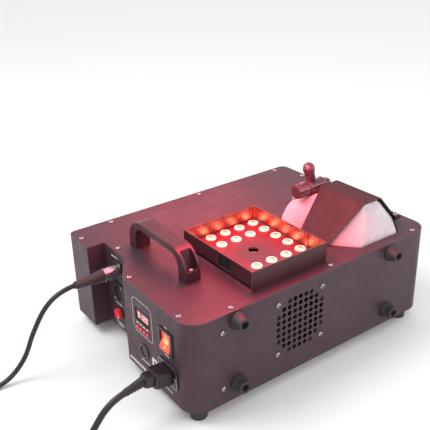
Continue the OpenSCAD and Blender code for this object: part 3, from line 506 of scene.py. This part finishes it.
# Painted shade for the screws' cross recesses and the gaps under their heads; also the dark print in the
# badge's centre
shade_and_print_dark = material("shade_and_print_dark", (0.02, 0.016, 0.018), 0.5)
rng = random.Random(7)
screws = Build()
for x, y in TOP_SCREWS:
    screw(screws, (x, y, PLATE_TOP), "Z", rng.uniform(0, 90))
for x, y in STRAP_SCREWS:
    screw(screws, (x, y, PLATE_TOP + STRAP_SHEET), "Z", rng.uniform(0, 90))
for x, z in SIDE_SCREWS:
    screw(screws, (x, 0, z), "-Y", rng.uniform(0, 90))
screw_looks = [LOOKS["screw_steel"], shade_and_print_dark]
screws.make("casing_screws", "casing", screw_looks, replaces=["pan_screws"])
screws = Build()
for x, y in HANDLE_SCREWS:
    screw(screws, (x, y, PLATE_TOP + HANDLE_SEAT), "Z", rng.uniform(0, 90), 3.6, 2.2)
screws.make("handle_screw_heads", "casing", screw_looks, replaces=["handle_screws"])

# ---- feet on the fan side ----

SIDE_FEET = [(x, z) for z in (22, 110) for x in (67, 323)]
FOOT_PROFILE = [
    (11.6, 0), (11.7, 0.8), (10.9, 3.2), (9.6, 5.8), (8.9, 8.2), (8.7, 12.6), (8.4, 13.9), (7.7, 14.8),
    (5.6, 14.9), (4.9, 14.5), (4.7, 13.6), (4.7, 5.0)]
feet = Build()
for x, z in SIDE_FEET:
    feet.lathe(FOOT_PROFILE, (x, 0, z), "-Y", 56)
feet.make("side_foot_shapes", "casing", LOOKS["foot_rubber"], replaces=["side_feet"])

# ---- lights under the collar ----

LED_Z = PLATE_TOP + 7
LED_X = [115 + 24 * i for i in range(5)]
LED_Y = [29 + 24 * j for j in range(6)]
LED_PLACES = [
    (x, y) for i, x in enumerate(LED_X) for j, y in enumerate(LED_Y)
    if not (0 < i < 4 and 1 < j < 4)]  # the six places round the nozzle stay free
CHIP_OFFSET = 1.9
lens_rim = material("lens_rim", (0.95, 0.88, 0.70), 0.3, emission=(1.0, 0.86, 0.62), glow=0.75)
lens_chip = material("lens_chip", (0.10, 0.05, 0.02), 0.5)
lenses = Build()
for x, y in LED_PLACES:
    lenses.lathe(
        [(7.0, 0), (7.0, 1.2), (6.6, 1.7), (5.9, 1.7), (5.5, 1.2)], (x, y, LED_Z), "Z", 36, tag=1)
    lenses.lathe(
        [(5.5, 0.6), (5.5, 1.2), (5.1, 1.8), (4.1, 2.4), (2.6, 2.8), (1.1, 2.92), (0.2, 2.94)],
        (x, y, LED_Z), "Z", 36, tag=0)
    for dx, dy in ((-CHIP_OFFSET, 0), (CHIP_OFFSET, 0), (0, CHIP_OFFSET), (0, -CHIP_OFFSET)):
        lenses.lathe(
            [(1.0, 2.3), (1.0, 2.95), (0.3, 3.05)], (x + dx, y + dy, LED_Z), "Z", 12, tag=2)
lenses.make(
    "light_lenses", "casing", [LOOKS["lens"], lens_rim, lens_chip], replaces=["led_lenses"])

# Black sheets inside the collar's two notches: painted shade of the gaps behind them
NOTCH_Y = (57, 85)
SHADE_SHEET_X, SHADE_SHEET_T, COLLAR_TOP = (104.4, 221.3), 0.3, PLATE_TOP + 25.6
notch_shade = Build()
for x in SHADE_SHEET_X:
    notch_shade.box((x, NOTCH_Y[0], LED_Z + 0.2), (x + SHADE_SHEET_T, NOTCH_Y[1], COLLAR_TOP))
painted_shade_black = material("painted_shade_black", (0.002, 0.001, 0.002), 0.95)
notch_shade.make("notch_liners", "casing", painted_shade_black)

# ---- tank and strap ----

TANK_BEVEL_ANGLE = 12


def hull_piece(name, points, mat, width, segments, replaces=()):
    """The hull of points, with its edges rounded by width."""
    bm = bmesh.new()
    for p in points:
        bm.verts.new((Vector(p) + SHIFT) * MM)
    bmesh.ops.convex_hull(bm, input=bm.verts)
    bmesh.ops.dissolve_limit(bm, angle_limit=0.02, verts=bm.verts, edges=bm.edges)
    bmesh.ops.recalc_face_normals(bm, faces=bm.faces)
    mesh = bpy.data.meshes.new(name)
    bm.to_mesh(mesh)
    bm.free()
    mesh.materials.append(mat)
    mesh.shade_smooth()
    obj = bpy.data.objects.new(name, mesh)
    scene.collection.objects.link(obj)
    mod = obj.modifiers.new("edges", "BEVEL")
    mod.width = width * MM
    mod.segments = segments
    mod.limit_method = "ANGLE"
    mod.angle_limit = math.radians(TANK_BEVEL_ANGLE)
    weighted = obj.modifiers.new("shade", "WEIGHTED_NORMAL")
    weighted.keep_sharp = False
    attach(obj, "casing")
    if replaces:
        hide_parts(*replaces)


TANK_X0, TANK_X1, TANK_Y0, TANK_Y1 = 255.0, 383.0, 16.5, 150.0
FRONT_CUT_X, FRONT_CUT_Y, BACK_CUT = 29, 33.35, 9
TANK_SPLIT_Z, SHOULDER_IN, SHOULDER_Z = 112.0, 21, 144
RIDGE_X, RIDGE_Y, RIDGE_Z = (305, 333), (38, 98), 172.5
TANK_PLAN = [
    (TANK_X0 + FRONT_CUT_X, TANK_Y0), (TANK_X1 - FRONT_CUT_X, TANK_Y0),
    (TANK_X1, TANK_Y0 + FRONT_CUT_Y), (TANK_X1, TANK_Y1 - BACK_CUT),
    (TANK_X1 - BACK_CUT, TANK_Y1), (TANK_X0 + BACK_CUT, TANK_Y1),
    (TANK_X0, TANK_Y1 - BACK_CUT), (TANK_X0, TANK_Y0 + FRONT_CUT_Y)]
crown = [(x, y, z) for x, y in TANK_PLAN for z in (TANK_SPLIT_Z, PLATE_TOP)]
crown += [(x, TANK_Y1, SHOULDER_Z) for x in (TANK_X0 + SHOULDER_IN, TANK_X1 - SHOULDER_IN)]
crown += [(RIDGE_X[i], RIDGE_Y[j], RIDGE_Z) for i, j in ((0, 0), (1, 0), (1, 1), (0, 1))]
lower = [(x, y, z) for x, y in TANK_PLAN for z in (0.0, TANK_SPLIT_Z)]
hull_piece("tank_crown", crown, LOOKS["tank_plastic"], 5.0, 5, ["tank"])
hull_piece("tank_lower", lower, LOOKS["tank_plastic"], 3.0, 3)
neck = Build()
neck.lathe([(12, 138), (12, 154.6), (11.2, 155.5), (7.2, 155.5)], (TEE[0], TEE[1], 0), "Z", 48)
neck.make("tank_neck", "casing", LOOKS["tank_plastic"])


def filleted(points, radii):
    """A polyline with its inner corners rounded."""
    out = [Vector(points[0])]
    for i in range(1, len(points) - 1):
        a, b, c = (Vector(points[k]) for k in (i - 1, i, i + 1))
        u, v = (a - b).normalized(), (c - b).normalized()
        half = u.angle(v) / 2
        reach = radii[i] / math.tan(half)
        centre = b + (u + v).normalized() * (radii[i] / math.sin(half))
        start, end = b + u * reach - centre, b + v * reach - centre
        for k in range(CORNER_STEPS + 1):
            d = start.lerp(end, k / CORNER_STEPS)
            out.append(centre + d.normalized() * radii[i])
    return out + [Vector(points[-1])]


STRAP_FOOT_Z, STRAP_TOP_Z = PLATE_TOP + STRAP_SHEET, 175
STRAP_TOP_X, STRAP_RUN, STRAP_FOOT = (304, 334.5), 50.74, 11
STRAP_WIDENS_FROM, STRAP_WIDENS_OVER = 123, 53
STRAP_FOOT_Y, STRAP_TOP_Y = (46, 99), (32, 113)


def strap_edge(z, side):
    """Y of the strap's near (0) or far (1) edge at height z."""
    low, high = STRAP_FOOT_Y[side], STRAP_TOP_Y[side]
    return low + (high - low) * (z - STRAP_WIDENS_FROM) / STRAP_WIDENS_OVER


run_ends = (STRAP_TOP_X[0] - STRAP_RUN, STRAP_TOP_X[1] + STRAP_RUN)
line = filleted(
    [(run_ends[0] - STRAP_FOOT, STRAP_FOOT_Z), (run_ends[0], STRAP_FOOT_Z), (STRAP_TOP_X[0], STRAP_TOP_Z),
     (STRAP_TOP_X[1], STRAP_TOP_Z), (run_ends[1], STRAP_FOOT_Z), (run_ends[1] + STRAP_FOOT, STRAP_FOOT_Z)],
    [0, 2.0, 4.5, 4.5, 2.0, 0])
rings = []
for i, p in enumerate(line):
    along = (line[min(i + 1, len(line) - 1)] - line[max(i - 1, 0)]).normalized()
    inner = p + Vector((along.y, -along.x)) * STRAP_SHEET
    rings.append([
        (q.x, strap_edge(q.y, side), q.y) for q, side in ((p, 0), (p, 1), (inner, 1), (inner, 0))])
strap = Build()
strap.rings(rings)
strap.make("strap_sheet", "casing", LOOKS["strap_sheet"], bevel=0.5, replaces=["tank_strap"])

# ---- filler tee ----

TEE_X, TEE_Y, TEE_Z = TEE
PIPE_R, FLANGE_R, FLANGE_W = 9.6, 10.9, 2.6
FLANGE_AT, RIB_AT = (-15.1, 10.6), (14.4, 23.4)
RIB_COUNT, RIB_R, RIB_HALF = 6, 5.6, 1.3
tee = Build()
for offset in FLANGE_AT:
    tee.lathe(
        [(PIPE_R, 0), (FLANGE_R - 0.5, 0), (FLANGE_R, 0.5), (FLANGE_R, FLANGE_W - 0.5),
         (FLANGE_R - 0.5, FLANGE_W), (PIPE_R, FLANGE_W)], (TEE_X + offset, TEE_Y, TEE_Z), "X", 48)
for k in range(RIB_COUNT):
    y = TEE_Y + RIB_R * math.cos(math.tau * k / RIB_COUNT)
    z = TEE_Z + RIB_R * math.sin(math.tau * k / RIB_COUNT)
    tee.box(
        (TEE_X + RIB_AT[0], y - RIB_HALF, z - RIB_HALF), (TEE_X + RIB_AT[1], y + RIB_HALF, z + RIB_HALF))
tee.make("tee_flanges", "casing", LOOKS["dark_plastic"], bevel=0.3)

# ---- hose ----

hose_route = [
    (309, 144, 164), (309, 150, 163.5), (309, 158, 160), (309, 165, 153), (309, 170, 144),
    (309, 172, 134), (309, 172, 122), (310, 172, 110), (317, 173, 99), (330, 176, 92), (345, 179, 87),
    (358, 182, 80), (366, 185, 70), (368, 187, 60), (363, 189, 51), (353, 190, 46), (340, 190, 45)]
hose = Build()
hose.tube(softened(hose_route, 3), 3.4, 20)
hose.make("suction_hose_tube", "casing", LOOKS["hose"], replaces=["suction_hose"])

# ---- mains connector, plug ----

RELIEF_STEPS = 28


def relief(build, start, end, r_start, r_end, ribs):
    """A tapered strain relief with open rings, between two points."""
    start, end = Vector(start), Vector(end)
    along = (end - start).normalized()
    side = along.cross(Vector((0, 1, 0))).normalized()
    up = side.cross(along)
    total = (end - start).length
    profile = [(0.0, r_start)]
    pitch = total / (ribs + 1)
    for k in range(ribs):
        z = pitch * (k + 0.75)
        r = r_start + (r_end - r_start) * z / total
        groove = r * 0.84
        profile += [(z - pitch * 0.3, r), (z - pitch * 0.28, groove), (z + 0.1, groove), (z + 0.12, r)]
    profile.append((total, r_end))
    angles = [math.tau * k / RELIEF_STEPS for k in range(RELIEF_STEPS)]
    build.rings([
        [start + along * z + r * (math.cos(a) * side + math.sin(a) * up) for a in angles]
        for z, r in profile])


CONNECTOR_LEAN = 8
GRIP_RIBS, GRIP_RIB_PITCH, GRIP_RIB_W = 3, 4, 2


def leaning(x, outline):
    """An outline at depth x of the mains connector, which leans about its inlet."""
    lean = Matrix.Rotation(math.radians(CONNECTOR_LEAN), 3, "Y")
    return [Vector((0, *INLET)) + lean @ Vector((x, y, z)) for y, z in outline]


plug = Build()
for x0, x1, w, h in ((-25, -4, 26, 21), (-36, -24.8, 17, 16)):
    plug.rings([
        leaning(x, around((0, 0), w * k / 2, h * k / 2, 4))
        for x, k in ((x1, 1.0), (x0 + 3, 0.97), (x0, 0.86))])
for k in range(GRIP_RIBS):
    x = -11 - GRIP_RIB_PITCH * k
    for side in (-1, 1):
        rib = [(side * 12.9, -7), (side * 13.3, -7), (side * 13.3, 7), (side * 12.9, 7)]
        plug.rings([leaning(x, rib), leaning(x - GRIP_RIB_W, rib)])
plug.prism(around(INLET, 12.1, 8.1, 2), -5, 13)
relief(plug, (-33.4, 47, 43.1), mains_route[0], 6.6, 4.6, 6)
mains_plug_in = plug.make(
    "mains_connector_body", "casing", LOOKS["cable_pvc"], bevel=0.7,
    replaces=["mains_connector"])

plug = Build()
PLUG_X, PLUG_Y, PLUG_Z = -222.0, 40.0, FLOOR_Z + 18
RELIEF_L, PIN_OFFSET = 28, 9.5
relief(plug, (PLUG_X, PLUG_Y, PLUG_Z), (PLUG_X + RELIEF_L, PLUG_Y, PLUG_Z), 9, 5, 5)
plug.lathe(
    [(10, 0), (16, 2), (17.6, 6), (17.6, 14), (16.4, 17), (16.4, 24), (17.6, 27), (18, 33), (17.4, 34)],
    (PLUG_X, PLUG_Y, PLUG_Z), "-X", 48)
for y in (PLUG_Y - PIN_OFFSET, PLUG_Y + PIN_OFFSET):
    plug.lathe([(2.4, 33), (2.4, 43)], (PLUG_X, y, PLUG_Z), "-X", 20)
    plug.lathe([(2.4, 43), (2.4, 51.4), (2.0, 52.6), (1.0, 53)], (PLUG_X, y, PLUG_Z), "-X", 20, tag=1)
mains_plug_far = plug.make(
    "mains_plug_body", "casing", [LOOKS["cable_pvc"], LOOKS["screw_steel"]], bevel=0.5,
    replaces=["mains_plug"])

# ---- three-pin round connectors of the control lead ----

boot_rubber = material("boot_rubber", (0.030, 0.022, 0.026), 0.42, grain=(700.0, 0.12))
connector_looks = [LOOKS["satin_nickel"], boot_rubber]


def boot(first, z, r, last):
    """Profile of a rubber boot: first points, five grooves from height z and radius r, last points."""
    profile = list(first)
    for k in range(5):
        low, wide = z + k * 2.2, r - 0.25 * k
        profile += [(wide, low), (wide - 0.6, low + 0.5), (wide - 0.6, low + 1.2), (wide - 0.1, low + 1.7)]
    return profile + last


NEAR_BARREL = 19
near_nose = (RECESS_X - 2.4, CONTROL_Y, CONTROL_IN_Z)
near = Build()
near.lathe([(7.4, -14), (7.9, -13.5), (7.9, 0.2)], near_nose, "-X", 40)
near.lathe(
    [(7.9, 0), (9.2, 0), (9.4, 0.5), (9.4, 15), (9.1, 15.4), (9.1, 16), (9.4, 16.4), (9.4, NEAR_BARREL)],
    near_nose, "-X", 48)
near_boot = boot(
    [(8.7, NEAR_BARREL - 0.2), (9.2, NEAR_BARREL + 1)], NEAR_BARREL + 2, 8.9,
    [(7.4, 35), (6.4, 41), (5.4, 58.6), (4.7, 61.6)])
near.lathe(near_boot, near_nose, "-X", 48, tag=1)
near_connector = near.make(
    "control_connector_body", "casing", connector_looks, replaces=["dmx_connector"])

FAR_L, PIN_CIRCLE = 72, 4
far_nose = (DMX_COIL[0] - 37.5, DMX_COIL[1] - 18 - FAR_L, FLOOR_Z + 9.4)
far = Build()
far.lathe(
    [(8.0, 14), (8.0, 0), (9.2, 0), (9.4, 0.5), (9.4, 24), (9.1, 24.6), (9.1, 25.4), (9.4, 26), (9.4, 38),
     (9.0, 38.4)], far_nose, "Y", 48)
far_boot = boot([(8.7, 38), (9.0, 39.4)], 40.5, 8.7, [(7.2, 54), (6.2, 60), (5.2, 68), (4.6, FAR_L)])
far.lathe(far_boot, far_nose, "Y", 48, tag=1)
for angle in (90, 210, 330):
    x = far_nose[0] + PIN_CIRCLE * math.cos(math.radians(angle))
    z = far_nose[2] + PIN_CIRCLE * math.sin(math.radians(angle))
    far.lathe([(1.2, 14.2), (1.2, 3), (0.7, 2.2)], (x, far_nose[1], z), "Y", 14)
far_connector = far.make(
    "control_end_connector_body", "casing", connector_looks, replaces=["dmx_end_connector"])

# ---- display, marks ----

SEGMENTS = {"0": "abcdef", "1": "bc", "2": "abged"}
DIGIT_W, DIGIT_H, DIGIT_PITCH = 4.3, 7.4, 6.0
DIGIT_X, DIGIT_Y, DIGIT_Z = 0.45, 112.6, 82.4
SEGMENT_T, SEGMENT_GAP = 1.0, 0.15


def digit(build, char, y):
    """Seven-segment digit, seen from -X, its left edge at y."""
    w, h, t = DIGIT_W, DIGIT_H, SEGMENT_T
    boxes = {
        "a": ((0, h - t), (w, h)), "g": ((0, (h - t) / 2), (w, (h + t) / 2)), "d": ((0, 0), (w, t)),
        "f": ((0, h / 2), (t, h)), "e": ((0, 0), (t, h / 2)), "b": ((w - t, h / 2), (w, h)),
        "c": ((w - t, 0), (w, h / 2))}
    for name in SEGMENTS[char]:
        (a0, b0), (a1, b1) = boxes[name]
        build.box(
            (DIGIT_X, y - a1 + SEGMENT_GAP, DIGIT_Z + b0 + SEGMENT_GAP),
            (DIGIT_X + 0.12, y - a0 - SEGMENT_GAP, DIGIT_Z + b1 - SEGMENT_GAP))


shown = Build()
for k, char in enumerate("0120"):
    digit(shown, char, DIGIT_Y - DIGIT_PITCH * k)
shown.make("display_digits", "casing", digit_red)


def panel_rings(name, steps, mat):
    """A thin ring on the panel: each step is a depth X and an outline, all equally long."""
    build = Build()
    build.rings([[(x, y, z) for y, z in shape] for x, shape in steps], caps=False)
    build.make(name, "casing", mat)


# A black ring round the display window: the bezel, widened with painted shade of the window's recess
outer, inner = around((DISPLAY[0], DISPLAY[1] - 0.1), 16.6, 8.8, 1.2), around(DISPLAY, 14.8, 6.8, 0.6)
panel_rings("display_bezel", [(0.0, outer), (-0.14, outer), (-0.02, inner)], painted_shade_black)

MARK_T = 0.06
FRAME_LINE = 0.35
FRAME_CORNERS = [(80, 63), (80, 103), (85, 108), (120, 108), (125, 103), (125, 65), (120, 60), (83, 60)]

# Plain bars that stand for lettering: face X, left end Y, their widths, the gap, lower edge Z and height
LABELS = [
    (0, 117.5, [5.2, 5.2, 5.2, 5.2], 2.4, 72.6, 1.8),
    (0, 111, [5, 3, 6, 3], 1, 20.4, 1.6),
    (0, 51, [2.2, 2.2], 1.0, 100.4, 1.6),
    (0, 53, [3, 2.4, 2.4], 0.8, 61.2, 1.6),
    (0, 56, [4, 3.4, 6], 0.9, 11.2, 1.6),
    (0, 141.5, [4, 4, 4, 4, 4, 4, 4], 1.6, 5.0, 4.4),
    (0, 84.5, [11], 0, 27, 12),
    (RECESS_X, 223, [3.2, 2.4, 5, 3], 0.8, 112.4, 1.8),
    (RECESS_X, 222, [4, 3, 5, 3], 0.8, 39.0, 1.8),
    (RECESS_X, 224, [5, 4, 6, 4], 0.8, 6.6, 1.6),
    (RECESS_X, 222, [3, 6, 4], 0.8, 3.0, 1.6)]

marks = Build()
for (a, b), (c, d) in zip(FRAME_CORNERS, FRAME_CORNERS[1:] + FRAME_CORNERS[:1]):
    u = (Vector((c, d)) - Vector((a, b))).normalized() * FRAME_LINE
    n = Vector((-u.y, u.x))
    corners = [Vector((a, b)) - u - n, Vector((c, d)) + u - n, Vector((c, d)) + u + n, Vector((a, b)) - u + n]
    marks.prism([(v.x, v.y) for v in corners], -MARK_T, 0.0)
for face, left, widths, gap, low, height in LABELS:
    for width in widths:
        marks.box((face - MARK_T, left - width, low), (face, left, low + height))
        left -= width + gap
marks.make("panel_marks", "casing", ink)
badge = Build()
badge.box((-0.10, 77.0, 30.6), (-0.05, 81.0, 35.4))
badge.make("badge_centre", "casing", shade_and_print_dark)

# ---- rocker ----

rocker_glow = material(
    "rocker_glow", (1.0, 0.34, 0.10), 0.2, emission=(1.0, 0.33, 0.08), glow=0.75, blotch=(120.0, 0.25))
ROCKER_PIVOT = Vector((2.5, *SWITCH))
ROCKER_TILT = 10
SIGN_T, SIGN_SUNK = 0.12, 0.3


def rocker_point(x, y, z):
    """A point of the rocker's level shape, tilted as it stands."""
    return ROCKER_PIVOT + Matrix.Rotation(math.radians(ROCKER_TILT), 3, "Y") @ Vector((x, y, z))


def rocker_face(z):
    """Depth of the rocker's dished face at height z."""
    return -2.4 - 2.2 * abs(z) / 12.2


def rocker_patch(build, outline, thick=SIGN_T):
    build.rings([
        [rocker_point(rocker_face(z) - h, y, z) for y, z in outline] for h in (-SIGN_SUNK, thick)])


rocker = Build()
# The two middle patches are a painted highlight across the rocker's middle; the bar and the ring are its I and
# O signs
rocker_patch(rocker, [(-4.2, -3.6), (4.2, -3.6), (5.2, -1.6), (5.2, -0.3), (-5.2, -0.3), (-5.2, -1.6)])
rocker_patch(rocker, [(5.2, 0.3), (5.2, 1.6), (4.2, 3.4), (-4.2, 3.4), (-5.2, 1.6), (-5.2, 0.3)])
rocker_patch(rocker, [(-0.5, 5.6), (0.5, 5.6), (0.5, 9.4), (-0.5, 9.4)])
rocker_patch(
    rocker,
    [(1.9 * math.cos(math.tau * k / 20), -7.6 + 1.9 * math.sin(math.tau * k / 20)) for k in range(20)], 0.1)
rocker.make("rocker_window", "power_rocker_body", rocker_glow)

# ---- socket details ----

jack = Build()
jack.lathe([(8.4, 0), (9.6, 0), (9.6, 0.2), (8.4, 0.2)], (-1.42, *JACK), "-X", 40, caps=False)
for angle in range(0, 181, 45):
    c, s = math.cos(math.radians(angle)), math.sin(math.radians(angle))
    contact = (-1.38, JACK[0] + 3.6 * c, JACK[1] - 3.6 * s)
    jack.lathe([(0.9, 0.0), (0.9, 0.12), (0.6, 0.12)], contact, "-X", 12)
jack.make("remote_jack_ring", "casing", LOOKS["dark_plastic"])
flange = Build()
for z in (CONTROL_IN_Z, CONTROL_OUT_Z):
    for dy, dz in ((-9.8, 12), (9.8, -12)):
        screw(flange, (RECESS_X - 2, CONTROL_Y + dy, z + dz), "-X", 30, 2.3, 1.1)
for dy in (-16.5, 16.5):
    screw(flange, (-2.0, INLET[0] + dy, INLET[1]), "-X", 20, 2.4, 1.0)
flange.make("socket_screws", "casing", [LOOKS["plain_steel"], shade_and_print_dark])
# A thin pale ring round the inlet's flange: a painted highlight of the flange's edge
outer, inner = around(INLET, 20, 15, 5.6), around(INLET, 19.3, 14.3, 5.0)
panel_rings(
    "inlet_flange_line", [(-2.02, outer), (-2.08, outer), (-2.08, inner), (-2.02, inner)],
    LOOKS["satin_nickel"])
outer, inner = around(SWITCH, 14.6, 16.3, 2), around(SWITCH, 11.4, 14.0, 1)
panel_rings(
    "switch_bezel", [(-0.1, outer), (-1.9, outer), (-2.3, inner), (-1.2, inner)],
    LOOKS["socket_plastic"])

lead(
    "mains_lead_cable", mains_path, MAINS_D, mains_route[0], ["mains_lead", "mains_coil"])
lead(
    "control_lead_cable", dmx_path, DMX_D, dmx_route[0], ["dmx_lead", "dmx_coil"])

# ---- edges of the CAD's own pieces, with their radii ----

EDGES = {
    "side_shell": 0.35, "top_plate": 0.35, "led_collar": 0.3, "handle": 1.4, "bottom_feet": 0.8,
    "power_rocker": 0.6, "power_switch_body": 0.5, "mains_inlet": 0.5, "fuse_cap": 0.5,
    "remote_socket": 0.3, "dmx_out_socket": 0.4, "tap_body": 0.5, "filler_cap": 0.3,
    "vent_stub": 0.4}
for node, width in EDGES.items():
    finish_edges(frame["nodes"][node], width)

# ---- floor, light ----

FLOOR_HALF = 6
floor = bpy.data.objects.new("floor", bpy.data.meshes.new("floor"))
floor_corners = [(-FLOOR_HALF, -FLOOR_HALF), (FLOOR_HALF, -FLOOR_HALF), (FLOOR_HALF, FLOOR_HALF),
                 (-FLOOR_HALF, FLOOR_HALF)]
floor.data.from_pydata([(x, y, 0) for x, y in floor_corners], [], [(0, 1, 2, 3)])
floor_mat = bpy.data.materials.new("floor")
floor_mat.use_nodes = True
floor_bsdf = floor_mat.node_tree.nodes["Principled BSDF"]
floor_bsdf.inputs["Base Color"].default_value = (0.9, 0.9, 0.9, 1)
floor_bsdf.inputs["Roughness"].default_value = 0.9
floor.data.materials.append(floor_mat)
scene.collection.objects.link(floor)

world = bpy.data.worlds.new("studio")
scene.world = world
world.use_nodes = True
sky = world.node_tree.nodes["Background"]
sky.inputs["Color"].default_value = (1.0, 1.0, 1.0, 1)
sky.inputs["Strength"].default_value = 0.95


def area_light(name, place, aim, size, power, colour=(1, 1, 1)):
    """A round lamp at place that points at aim; places are in the row frame."""
    data = bpy.data.lights.new(name, "AREA")
    data.shape = "DISK"
    data.size = size
    data.energy = power
    data.color = colour
    obj = bpy.data.objects.new(name, data)
    scene.collection.objects.link(obj)
    obj.location = place
    obj.rotation_euler = (Vector(aim) - Vector(place)).to_track_quat("-Z", "Y").to_euler()
    return obj


area_light("key", (-0.9, 0.5, 1.5), (0, 0, 0.1), 0.9, 14)
area_light("fill", (0.9, -1.3, 0.9), (0, 0, 0.05), 0.9, 6)

# The red lamps stand for the glow of the lit fog: the first spares only the floor, the others light a few parts
RED, CORAL = (1.0, 0.05, 0.10), (1.0, 0.15, 0.07)


def link(light, lit=(), spared=()):
    """Limits a light to some objects, or keeps it off some."""
    group = bpy.data.collections.new(light.name + "_link")
    for obj in lit or spared:
        group.objects.link(obj)
    if not lit:
        for member in group.collection_objects:
            member.light_linking.link_state = "EXCLUDE"
    light.light_linking.receiver_collection = group
    light.visible_camera = False


nodes_of = frame["nodes"]
link(area_light("fog_glow", at(163, 95, 330), at(163, 89, PLATE_TOP), 0.16, 1.65, RED), spared=[floor])
link(
    area_light("fog_glow_back", at(290, 400, 330), at(150, 200, PLATE_TOP), 0.30, 0.9, RED),
    spared=[floor, nodes_of["handle"], nodes_of["led_collar"], nodes_of["led_board"]])
link(
    area_light("fog_glow_side", at(205, 128, 215), at(262, 118, 140), 0.05, 0.12, (1.0, 0.10, 0.12)),
    lit=[bpy.data.objects[name] for name in ("tank_crown", "tank_lower", "tank_neck")])
link(
    area_light("fog_glow_tee", at(232, 96, 236), at(309, 130, 180), 0.08, 0.50, (1.0, 0.06, 0.16)),
    lit=[nodes_of[name] for name in ("tap_body", "filler_cap", "vent_stub", "port_nut")]
    + [bpy.data.objects["tee_flanges"]])
BEAM_LOW, BEAM_HIGH = 135, 147
wall_beams = [((x, 151, BEAM_LOW), (x, 160.5, BEAM_HIGH)) for x in LED_X]
wall_beams += [((213, y, BEAM_LOW), (221.5, y, BEAM_HIGH)) for y in LED_Y]
link(
    area_light("wall_wash", at(150, 75, 138), at(200, 150, 146), 0.04, 0.10, CORAL),
    lit=[nodes_of["led_collar"]])
for k, (place, aim) in enumerate(wall_beams):
    link(
        area_light("wall_beam_%02d" % k, at(*place), at(*aim), 0.009, 0.016, CORAL),
        lit=[nodes_of["led_collar"]])

scene.view_settings.view_transform = "Standard"
scene.view_settings.look = "None"
